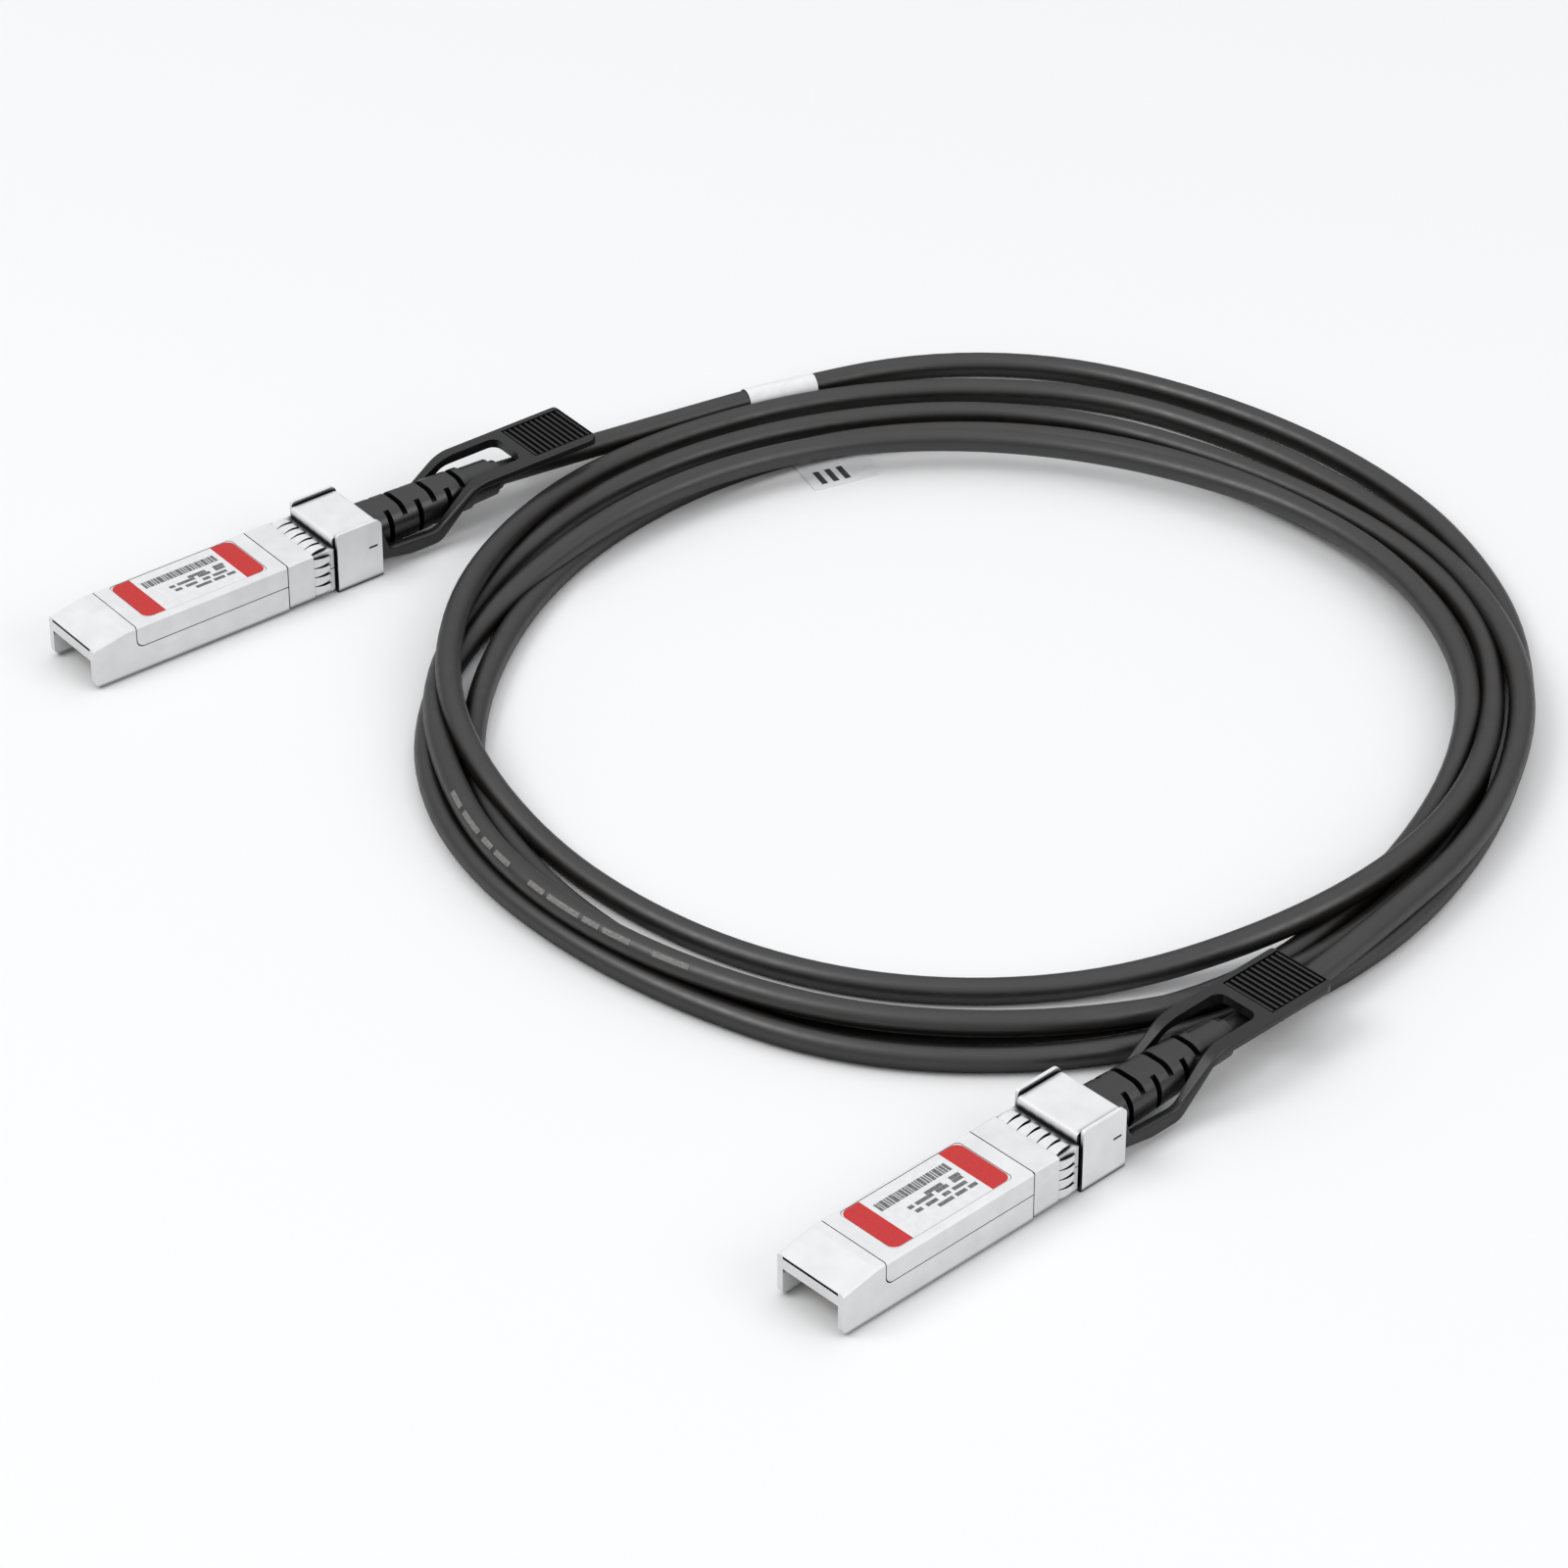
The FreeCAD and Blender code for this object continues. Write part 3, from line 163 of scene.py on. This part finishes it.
def cord_line():
    """The cord's centreline in millimetres, from a bare copy of its spline, and the run to each point."""
    bare = show("cord_line", cord.data.copy())
    bare.data.bevel_depth = 0
    bpy.context.view_layer.update()
    line = bpy.data.meshes.new_from_object(bare.evaluated_get(bpy.context.evaluated_depsgraph_get()))
    points = [v.co / MM for v in line.vertices]
    bpy.data.curves.remove(bare.data)
    bpy.data.meshes.remove(line)
    runs = [0.0]
    for first, second in zip(points, points[1:]):
        runs.append(runs[-1] + (second - first).length)
    return points, runs


# ---------------------------------------------------------------- finishes

BLACK, WHITE = (0.0, 0.0, 0.0, 1.0), (1.0, 1.0, 1.0, 1.0)
NOISE_LOW, NOISE_HIGH = 0.3, 0.7                # most of a noise's values lie between these
NEARNESS_SAMPLES = 12
PAINTED_SHADE_DARK, PAINTED_SHADE_CLEAR = 0.72, 0.97        # how open a place is where the painted shade is darkest, and where it ends
# the near black painted where shade falls in crevices
PAINTED_SHADE_COLOUR = (0.006, 0.006, 0.006, 1.0)
GLOSS_SHADE_DARK, GLOSS_SHADE_CLEAR = 0.35, 0.9         # the same two for the painted shade on gloss
finishes = {}


def paint(red, green, blue):
    """A colour as it is seen, 0 to 255, as the shader takes it."""
    def linear(level):
        return level / 255 / 12.92 if level <= 10 else ((level / 255 + 0.055) / 1.055) ** 2.4
    return (linear(red), linear(green), linear(blue), 1.0)


class Finish:
    """A material, kept in finishes by its name, with a few words for its nodes.
    Patterns read Object coordinates, which are the row frame in metres."""

    def __init__(self, name, colour, roughness, metallic=0.0, **sockets):
        self.material = bpy.data.materials.new(name)
        finishes[name] = self.material
        self.material.use_nodes = True
        self.nodes = self.material.node_tree.nodes
        self.links = self.material.node_tree.links
        self.shader = self.nodes["Principled BSDF"]
        self.set("Base Color", colour)
        self.set("Roughness", roughness)
        self.set("Metallic", metallic)
        for socket, value in sockets.items():
            self.set(socket.replace("_", " "), value)

    def set(self, socket, value):
        """A fixed value on one of the shader's sockets."""
        self.shader.inputs[socket].default_value = value

    def place(self, stretch):
        """Object coordinates, stretched."""
        coordinates = self.nodes.new("ShaderNodeTexCoord")
        mapping = self.nodes.new("ShaderNodeMapping")
        mapping.inputs["Scale"].default_value = stretch
        self.links.new(coordinates.outputs["Object"], mapping.inputs["Vector"])
        return mapping.outputs["Vector"]

    def noise(self, scale, detail, roughness=0.5, stretch=(1, 1, 1)):
        """A noise with so many cells to the metre."""
        noise = self.nodes.new("ShaderNodeTexNoise")
        noise.inputs["Scale"].default_value = scale
        noise.inputs["Detail"].default_value = detail
        noise.inputs["Roughness"].default_value = roughness
        self.links.new(self.place(stretch), noise.inputs["Vector"])
        return noise.outputs["Fac"]

    def nearness(self, reach):
        """1 in the open, and less where other faces stand closer than the reach, in millimetres."""
        near = self.nodes.new("ShaderNodeAmbientOcclusion")
        near.samples = NEARNESS_SAMPLES
        near.inputs["Distance"].default_value = reach * MM
        return near.outputs["AO"]

    def ramp(self, value, *stops):
        """Colours at places along the value's range."""
        ramp = self.nodes.new("ShaderNodeValToRGB")
        while len(ramp.color_ramp.elements) < len(stops):
            ramp.color_ramp.elements.new(0.5)
        for element, (at, colour) in zip(ramp.color_ramp.elements, stops):
            element.position = at
            element.color = colour
        self.links.new(value, ramp.inputs["Fac"])
        return ramp.outputs["Color"]

    def vary(self, socket, value, low, high, start=NOISE_LOW, end=NOISE_HIGH):
        """The value's range from start to end becomes low to high on a socket."""
        spread = self.nodes.new("ShaderNodeMapRange")
        spread.inputs["From Min"].default_value = start
        spread.inputs["From Max"].default_value = end
        spread.inputs["To Min"].default_value = low
        spread.inputs["To Max"].default_value = high
        self.links.new(value, spread.inputs["Value"])
        self.links.new(spread.outputs["Result"], self.shader.inputs[socket])

    def colour(self, value):
        """A pattern as the shader's colour."""
        self.links.new(value, self.shader.inputs["Base Color"])

    def painted_shade(self, value, reach):
        """Painted shade: a colour that darkens to near black where other faces stand closer than the reach,
        in millimetres.
        """
        near = self.nearness(reach)
        mix = self.nodes.new("ShaderNodeMix")
        mix.data_type = "RGBA"
        self.links.new(self.ramp(near, (PAINTED_SHADE_DARK, BLACK), (PAINTED_SHADE_CLEAR, WHITE)), mix.inputs["Factor"])
        mix.inputs["A"].default_value = PAINTED_SHADE_COLOUR
        self.links.new(value, mix.inputs["B"])
        return mix.outputs["Result"]

    def painted_gloss_shade(self, reach, low, high):
        """Painted shade on the gloss: it fades to low where other faces stand closer than the reach, in
        millimetres.
        """
        self.vary("Specular IOR Level", self.nearness(reach), low, high, GLOSS_SHADE_DARK, GLOSS_SHADE_CLEAR)

    def relief(self, *layers):
        """Each layer is a value, its depth in millimetres and its strength, one over the other."""
        normal = None
        for value, depth, strength in layers:
            bump = self.nodes.new("ShaderNodeBump")
            bump.inputs["Distance"].default_value = depth * MM
            bump.inputs["Strength"].default_value = strength
            self.links.new(value, bump.inputs["Height"])
            if normal:
                self.links.new(normal, bump.inputs["Normal"])
            normal = bump.outputs["Normal"]
        self.links.new(normal, self.shader.inputs["Normal"])


def satin_nickel(name, low, high, roughness, drawn=1.0, metallic=0.82, painted_shade=0.0):
    """Plated zinc or sheet: near white, faintly clouded, with a fine grain drawn out along x. Given a reach,
    its colour also darkens with painted shade in slits, seams and recesses.
    """
    finish = Finish(name, high, roughness, metallic=metallic)
    cloud = finish.ramp(finish.noise(260, 4), (NOISE_LOW, low), (NOISE_HIGH, high))
    # painted shade: the colour darkens where other faces stand near
    finish.colour(finish.painted_shade(cloud, painted_shade) if painted_shade else cloud)
    grain = finish.noise(3200, 3, stretch=(1 / drawn, 1, 1))
    finish.vary("Roughness", grain, roughness - 0.05, roughness + 0.07)
    finish.relief((grain, 0.02, 0.25))


def moulded(name, dark, light, roughness, grain_scale, depth, painted_gloss_shade=None, **sockets):
    """Matt moulded plastic or rubber: a spark-eroded grain over a faint cloud. Given a reach, its gloss
    fades with painted shade near other faces.
    """
    finish = Finish(name, dark, roughness, **sockets)
    # painted shade on the gloss near other faces
    if painted_gloss_shade:
        finish.painted_gloss_shade(*painted_gloss_shade)
    finish.colour(finish.ramp(finish.noise(180, 3), (NOISE_LOW, dark), (0.75, light)))
    grain = finish.noise(grain_scale, 4, 0.6)
    finish.vary("Roughness", grain, roughness - 0.07, roughness + 0.08)
    finish.relief((grain, depth, 0.5))


def smooth_white(name, low, high):
    """Coated paper or vinyl: an even white with a faint cloud in it and a very fine tooth."""
    finish = Finish(name, high, 0.42)
    finish.colour(finish.ramp(finish.noise(900, 4), (NOISE_LOW, low), (NOISE_HIGH, high)))
    finish.relief((finish.noise(5200, 3), 0.006, 0.4))


def ink(name, low, high, roughness=0.45):
    """Print: nearly one colour, slightly uneven, and almost flat."""
    finish = Finish(name, high, roughness)
    finish.colour(finish.ramp(finish.noise(2400, 4), (NOISE_LOW, low), (0.72, high)))
    finish.relief((finish.noise(6000, 2), 0.004, 0.3))


def cord_jacket():
    """Soft dark jacket: a very fine extruded texture, faint cloudy wear and a low gloss, which fades with
    painted shade where other strands stand near.
    """
    dark, light = paint(21, 19, 18), paint(30, 28, 26)
    finish = Finish("cord_jacket", paint(34, 33, 32), 0.42)
    # painted shade: the gloss fades where strands lie close together
    finish.painted_gloss_shade(5, 0.1, 1.0)
    finish.colour(finish.ramp(finish.noise(120, 4, 0.6), (NOISE_LOW, dark), (NOISE_HIGH, light)))
    fine = finish.noise(2600, 4, 0.6)
    finish.vary("Roughness", finish.noise(420, 4), 0.36, 0.46)
    finish.relief((finish.noise(260, 2), 0.12, 0.15), (fine, 0.02, 0.4))


# the plated metals carry painted shade in their slits and seams, out to these reaches in millimetres
satin_nickel("die_cast", paint(236, 236, 237), paint(246, 246, 247), 0.48, metallic=0.2, painted_shade=1.2)
satin_nickel("spring_sheet", paint(236, 236, 237), paint(246, 246, 247), 0.38, 6, 0.25, painted_shade=1.6)
satin_nickel("bracket_sheet", paint(240, 240, 241), paint(249, 249, 250), 0.4, 4, 0.2, painted_shade=1.2)
satin_nickel("spring_wire", paint(190, 191, 194), paint(216, 217, 220), 0.25)
satin_nickel("ferrule", paint(196, 190, 170), paint(214, 208, 190), 0.35)
satin_nickel("screw_steel", paint(170, 172, 176), paint(200, 202, 205), 0.3)
satin_nickel("gold_contacts", paint(222, 176, 84), paint(238, 196, 104), 0.22)
# the boot and tab gloss fades with painted shade near other faces
moulded("boot_rubber", paint(12, 12, 13), paint(18, 18, 19), 0.32, 3600, 0.03, painted_gloss_shade=(4, 0.05, 1.0))
moulded("tab_nylon", paint(14, 14, 15), paint(20, 20, 21), 0.34, 4200, 0.02, painted_gloss_shade=(3, 0.08, 0.62))
moulded("chip", paint(28, 28, 30), paint(38, 38, 40), 0.55, 5200, 0.015)
moulded("core_insulation", paint(206, 206, 204), paint(228, 228, 226), 0.5, 2600, 0.01)
moulded("circuit_board", paint(20, 74, 44), paint(30, 96, 58), 0.35, 3000, 0.01, Coat_Weight=0.3)
smooth_white("label_paper", paint(231, 231, 233), paint(240, 240, 241))
cord_jacket()
smooth_white("flag_vinyl", paint(240, 240, 242), paint(250, 250, 251))
ink("label_red", paint(197, 44, 43), paint(206, 52, 51), 0.6)
ink("label_ink", paint(86, 86, 89), paint(134, 134, 137))
ink("flag_ink", paint(44, 44, 46), paint(60, 60, 62))
ink("cord_print", paint(104, 103, 101), paint(140, 139, 137), 0.6)

slots = {part["node"]: part["material_slot"] for part in frame["record"]["subparts"]}
for name, node in nodes.items():
    node.data.materials.clear()
    node.data.materials.append(finishes[slots[name]])

# ---------------------------------------------------------------- printed pieces

INK_THICKNESS = 0.02


def piece(name, shape, finish, body):
    """A bmesh in the row frame becomes a named piece that rides on a body."""
    mesh = bpy.data.meshes.new(name)
    shape.to_mesh(mesh)
    shape.free()
    made = show(name, mesh)
    mesh.materials.append(finishes[finish])
    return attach(made, body)


def slab(shape, start, end, across, top, corners=(), corner_size=0.0):
    """A flat printed block in a frame of its own: from start to end along it, between two places across it.
    The corners named by their (along, across) signs are rounded."""
    low, high = across
    middle = Vector(((start + end) / 2, (low + high) / 2, top))
    made = bmesh.ops.create_grid(shape, x_segments=1, y_segments=1, size=0.5)["verts"]
    bmesh.ops.scale(shape, verts=made, vec=(end - start, high - low, 1))
    bmesh.ops.translate(shape, verts=made, vec=middle)
    rounded = [v for v in made if tuple(math.copysign(1, c) for c in (v.co - middle)[:2]) in corners]
    if rounded:
        bmesh.ops.bevel(shape, geom=rounded, offset=corner_size, offset_type="OFFSET", segments=5,
                        profile=0.5, affect="VERTICES", material=-1)


def raise_slabs(shape, matrix):
    """Give flat blocks the ink's thickness and set them in the row frame."""
    raised = bmesh.ops.extrude_face_region(shape, geom=shape.faces[:])["geom"]
    tops = [g for g in raised if isinstance(g, bmesh.types.BMVert)]
    bmesh.ops.translate(shape, verts=tops, vec=(0, 0, INK_THICKNESS))
    bmesh.ops.recalc_face_normals(shape, faces=shape.faces[:])
    bmesh.ops.transform(shape, matrix=matrix, verts=shape.verts[:])


# The label's print, in a plug's frame. Across the plug, places are from the label's middle line.
LABEL_TOP = 9.01
LABEL_SIDE = 0.35               # the label stands a little to one side
BLOCK_HALF_WIDTH = 5.6
BLOCK_CORNER = 1.4              # how far back each red block's outer corners are rounded
RED_BLOCKS = [(11.3, 15.2, -1), (31.2, 35.1, 1)]        # start, end, and the end with the rounded corners
BARCODE = [(16.1, 0.5), (16.75, 0.25), (17.15, 0.7), (18.0, 0.3), (18.45, 0.45), (19.05, 0.8), (20.0, 0.25),
           (20.4, 0.35), (20.9, 0.65), (21.7, 0.45), (22.3, 0.3), (22.75, 0.75), (23.65, 0.35), (24.15, 0.3),
           (24.6, 0.7), (25.45, 0.4), (26.0, 0.3), (26.45, 0.65), (27.25, 0.3), (27.7, 0.75), (28.6, 0.3),
           (29.05, 0.45), (29.65, 0.6)]                 # each bar's start and width
BARCODE_ACROSS = (1.7, 3.6)
# Rows of plain bars in the place of words: the row's upper edge, then each bar's start and length
TEXT_ROWS = [
    (0.75, [(23.4, 3.4), (28.3, 2.0)]),
    (-0.05, [(19.3, 1.0), (20.8, 3.4), (24.9, 2.3), (28.2, 1.9)]),
    (-1.3, [(19.6, 1.3), (21.7, 2.2), (25.0, 1.4), (27.0, 2.7)]),
    (-2.55, [(22.9, 3.0), (26.4, 2.1), (29.0, 1.6)]),
]
TEXT_HEIGHT = 0.74


def label_print(plug):
    """Two red blocks, a barcode of generic bars and rows of plain bars."""
    matrix = plug_matrix(plug)
    red = bmesh.new()
    block_across = (LABEL_SIDE - BLOCK_HALF_WIDTH, LABEL_SIDE + BLOCK_HALF_WIDTH)
    for start, end, outer in RED_BLOCKS:
        slab(red, start, end, block_across, LABEL_TOP, ((outer, -1), (outer, 1)), BLOCK_CORNER)
    raise_slabs(red, matrix)
    piece("plug_%s_label_blocks" % plug, red, "label_red", "cable")
    bars = bmesh.new()
    code_across = [LABEL_SIDE + edge for edge in BARCODE_ACROSS]
    for start, width in BARCODE:
        slab(bars, start, start + width, code_across, LABEL_TOP)
    for upper, words in TEXT_ROWS:
        row_across = (LABEL_SIDE + upper - TEXT_HEIGHT, LABEL_SIDE + upper)
        for start, length in words:
            slab(bars, start, start + length, row_across, LABEL_TOP)
    raise_slabs(bars, matrix)
    piece("plug_%s_label_bars" % plug, bars, "label_ink", "cable")


FLAG_CORNER = (88.92, 98.07)
FLAG_TURN = -12.65              # degrees from the row frame's x
FLAG_TOP = 0.2
FLAG_BARS = [(1.9, 1.1), (4.1, 1.1), (6.3, 1.1)]        # each bar's start and width
FLAG_BARS_ACROSS = (-27.3, -23.2)


def flag_print():
    """Three plain dark bars near the end of the flag."""
    bars = bmesh.new()
    for start, width in FLAG_BARS:
        slab(bars, start, start + width, FLAG_BARS_ACROSS, FLAG_TOP)
    raise_slabs(bars, set_down(FLAG_CORNER, FLAG_TURN))
    return piece("length_flag_bars", bars, "flag_ink", "cable")


# Pale generic dashes printed along one stretch of the jacket: each one's start along the cord and its length
PRINT_DASHES = [(1483.5, 6.6), (1494.4, 5.4), (1500.6, 3.4), (1504.8, 7.2), (1512.9, 3.8), (1522.0, 4.3),
                (1527.4, 3.0), (1532.0, 6.2), (1539.5, 4.6)]
PRINT_ANGLE = 42                # degrees from the top of the cord outwards, to a dash's middle line
PRINT_SPREAD = 12               # degrees from that line to each edge
PRINT_LIFT = 0.03               # how far the print stands off the jacket


def cord_dashes():
    """Thin curved plates that follow the jacket, on the side of the cord that faces out of the coil."""
    points, runs = cord_line()
    up, centre = Vector((0, 0, 1)), Vector((*COIL_CENTRE, 0))
    dashes = bmesh.new()
    for start, length in PRINT_DASHES:
        for vertex in bmesh.ops.create_grid(dashes, x_segments=4, y_segments=3, size=0.5)["verts"]:
            run = start + (vertex.co.x + 0.5) * length
            after = next(i for i, reached in enumerate(runs) if reached > run)
            share = (run - runs[after - 1]) / (runs[after] - runs[after - 1])
            middle = points[after - 1].lerp(points[after], share)
            along = (points[after] - points[after - 1]).normalized()
            out = along.cross(up).normalized()
            out = out if out.dot(middle - centre) > 0 else -out
            angle = math.radians(PRINT_ANGLE + 2 * PRINT_SPREAD * vertex.co.y)
            away = up * math.cos(angle) + out * math.sin(angle)
            vertex.co = (middle + (CORD_RADIUS + PRINT_LIFT) * away) * MM
    bmesh.ops.recalc_face_normals(dashes, faces=dashes.faces[:])
    bmesh.ops.solidify(dashes, geom=dashes.faces[:], thickness=INK_THICKNESS * MM)
    return piece("cord_print_dashes", dashes, "cord_print", "cable")


# ---------------------------------------------------------------- springs

SPRING_START, SPRING_END = 48.52, 53.28         # along the plug
SPRING_SIDE, SPRING_Z = 5.25, 3.75              # the springs' axes, to each side and above the floor
SPRING_RADIUS, WIRE_RADIUS = 0.6, 0.15
WIRE_SIDES = 8
OPEN_COILS = 3
CLOSED_RISE = 0.32              # an end coil's pitch, just more than the wire's thickness
COIL_STEPS = 20                 # steps round one coil


def return_springs(plug):
    """Both coil springs of a latch: a ring of wire wound along x, its end coils closed up."""
    springs = bmesh.new()
    pitch = (SPRING_END - SPRING_START - 2 * WIRE_RADIUS - 2 * CLOSED_RISE) / OPEN_COILS
    for side in (-1, 1):
        middle = Vector((0, side * SPRING_SIDE, SPRING_Z))
        top = middle + Vector((SPRING_START + WIRE_RADIUS, 0, SPRING_RADIUS))
        ring = bmesh.ops.create_circle(springs, segments=WIRE_SIDES, radius=WIRE_RADIUS)["verts"]
        for axis in "XZZ":      # stood up, then turned over: the way the ring runs sets how its faces split
            quarter_turn = Matrix.Rotation(math.pi / 2, 3, axis)
            bmesh.ops.rotate(springs, verts=ring, cent=(0, 0, 0), matrix=quarter_turn)
        bmesh.ops.translate(springs, verts=ring, vec=top)
        edges = list({e for v in ring for e in v.link_edges})
        for coils, rise in ((1, CLOSED_RISE), (OPEN_COILS, pitch), (1, CLOSED_RISE)):
            last = bmesh.ops.spin(springs, geom=edges, cent=middle, axis=(1, 0, 0),
                                  dvec=(rise / COIL_STEPS, 0, 0), angle=2 * math.pi * coils,
                                  steps=COIL_STEPS * coils, use_duplicate=False)["geom_last"]
            edges = [g for g in last if isinstance(g, bmesh.types.BMEdge)]
    bmesh.ops.remove_doubles(springs, verts=springs.verts[:], dist=0.001)
    bmesh.ops.holes_fill(springs, edges=[e for e in springs.edges if e.is_boundary], sides=12)
    bmesh.ops.recalc_face_normals(springs, faces=springs.faces[:])
    for face in springs.faces:
        face.smooth = True
    matrix = plug_matrix(plug)
    bmesh.ops.transform(springs, matrix=matrix, verts=springs.verts[:])
    made = piece("plug_%s_coil_springs" % plug, springs, "spring_wire", "cable")
    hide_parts("plug_%s_return_springs" % plug)
    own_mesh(made)


for plug in PLUG_PLACES:
    label_print(plug)
    return_springs(plug)

# ---------------------------------------------------------------- cord facts

cord.data.materials.append(finishes["cord_jacket"])
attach(cord, "cable")
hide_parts("cable_tail_a", "cable_coil", "cable_tail_b")
flag_print()
cord_dashes()

# ---------------------------------------------------------------- floor, light

FLOOR_HALF_WIDTH = 6            # metres
FLOOR_DROP = 0.02               # millimetres under the plane that the cable lies on
FLOOR_BOUNCE = (0.7, 0.7, 0.7, 1)               # the floor's colour as it lights the cable
FLOOR_SEEN = (0.955, 0.955, 0.955, 1)           # and as the camera sees it
SKY_COLOUR = (0.98, 0.985, 1.0, 1)
BACKDROP_COLOUR = (0.98, 0.98, 0.99, 1)
HORIZON_LEVEL, ZENITH_LEVEL = 0.22, 1.0
# Each lamp: its place and its size in metres, and its power in watts
SOFTBOXES = {
    "key": ((-1.0, 0.4, 1.35), (0.8, 0.8), 8),
    "fill": ((0.5, -1.2, 0.8), (1.0, 0.8), 4.5),
}


def studio_floor():
    """A matt floor that the camera sees nearly white and the cable as a light grey."""
    plane = bmesh.new()
    bmesh.ops.create_grid(plane, x_segments=1, y_segments=1, size=FLOOR_HALF_WIDTH)
    mesh = bpy.data.meshes.new("studio_floor")
    plane.to_mesh(mesh)
    plane.free()
    made = show("studio_floor", mesh)
    made.location.z = -FLOOR_DROP * MM
    finish = Finish("studio_floor", FLOOR_BOUNCE, 0.9, Specular_IOR_Level=0.1)
    rays = finish.nodes.new("ShaderNodeLightPath")
    seen = finish.nodes.new("ShaderNodeMix")
    seen.data_type = "RGBA"
    seen.inputs["A"].default_value = FLOOR_BOUNCE
    seen.inputs["B"].default_value = FLOOR_SEEN
    finish.links.new(rays.outputs["Is Camera Ray"], seen.inputs["Factor"])
    finish.colour(seen.outputs["Result"])
    mesh.materials.append(finish.material)


def surroundings():
    """Soft light that is brightest overhead; the camera sees plain white."""
    world = bpy.data.worlds.new("studio")
    bpy.context.scene.world = world
    world.use_nodes = True
    world_nodes, links = world.node_tree.nodes, world.node_tree.links
    light = world_nodes["Background"]
    light.inputs["Color"].default_value = SKY_COLOUR
    place, parts, level, white, rays, mix = (world_nodes.new("ShaderNode" + kind) for kind in (
        "TexCoord", "SeparateXYZ", "MapRange", "Background", "LightPath", "MixShader"))
    level.inputs["From Min"].default_value = 0.0
    level.inputs["From Max"].default_value = 1.0
    level.inputs["To Min"].default_value = HORIZON_LEVEL
    level.inputs["To Max"].default_value = ZENITH_LEVEL
    links.new(place.outputs["Generated"], parts.inputs[0])
    links.new(parts.outputs["Z"], level.inputs["Value"])
    links.new(level.outputs["Result"], light.inputs["Strength"])
    white.inputs["Color"].default_value = BACKDROP_COLOUR
    white.inputs["Strength"].default_value = 1.0
    links.new(rays.outputs["Is Camera Ray"], mix.inputs["Fac"])
    links.new(light.outputs[0], mix.inputs[1])
    links.new(white.outputs[0], mix.inputs[2])
    links.new(mix.outputs[0], world_nodes["World Output"].inputs["Surface"])


def softbox(name, place, size, power):
    """A large soft lamp that is turned to the place that the camera looks at."""
    lamp = bpy.data.lights.new(name, "AREA")
    lamp.shape = "RECTANGLE"
    lamp.size, lamp.size_y = size
    lamp.energy = power
    made = show(name, lamp)
    made.location = place
    face_towards(made, AIM)


studio_floor()
surroundings()
for name, settings in SOFTBOXES.items():
    softbox(name, *settings)

bpy.context.scene.view_settings.view_transform = "Standard"
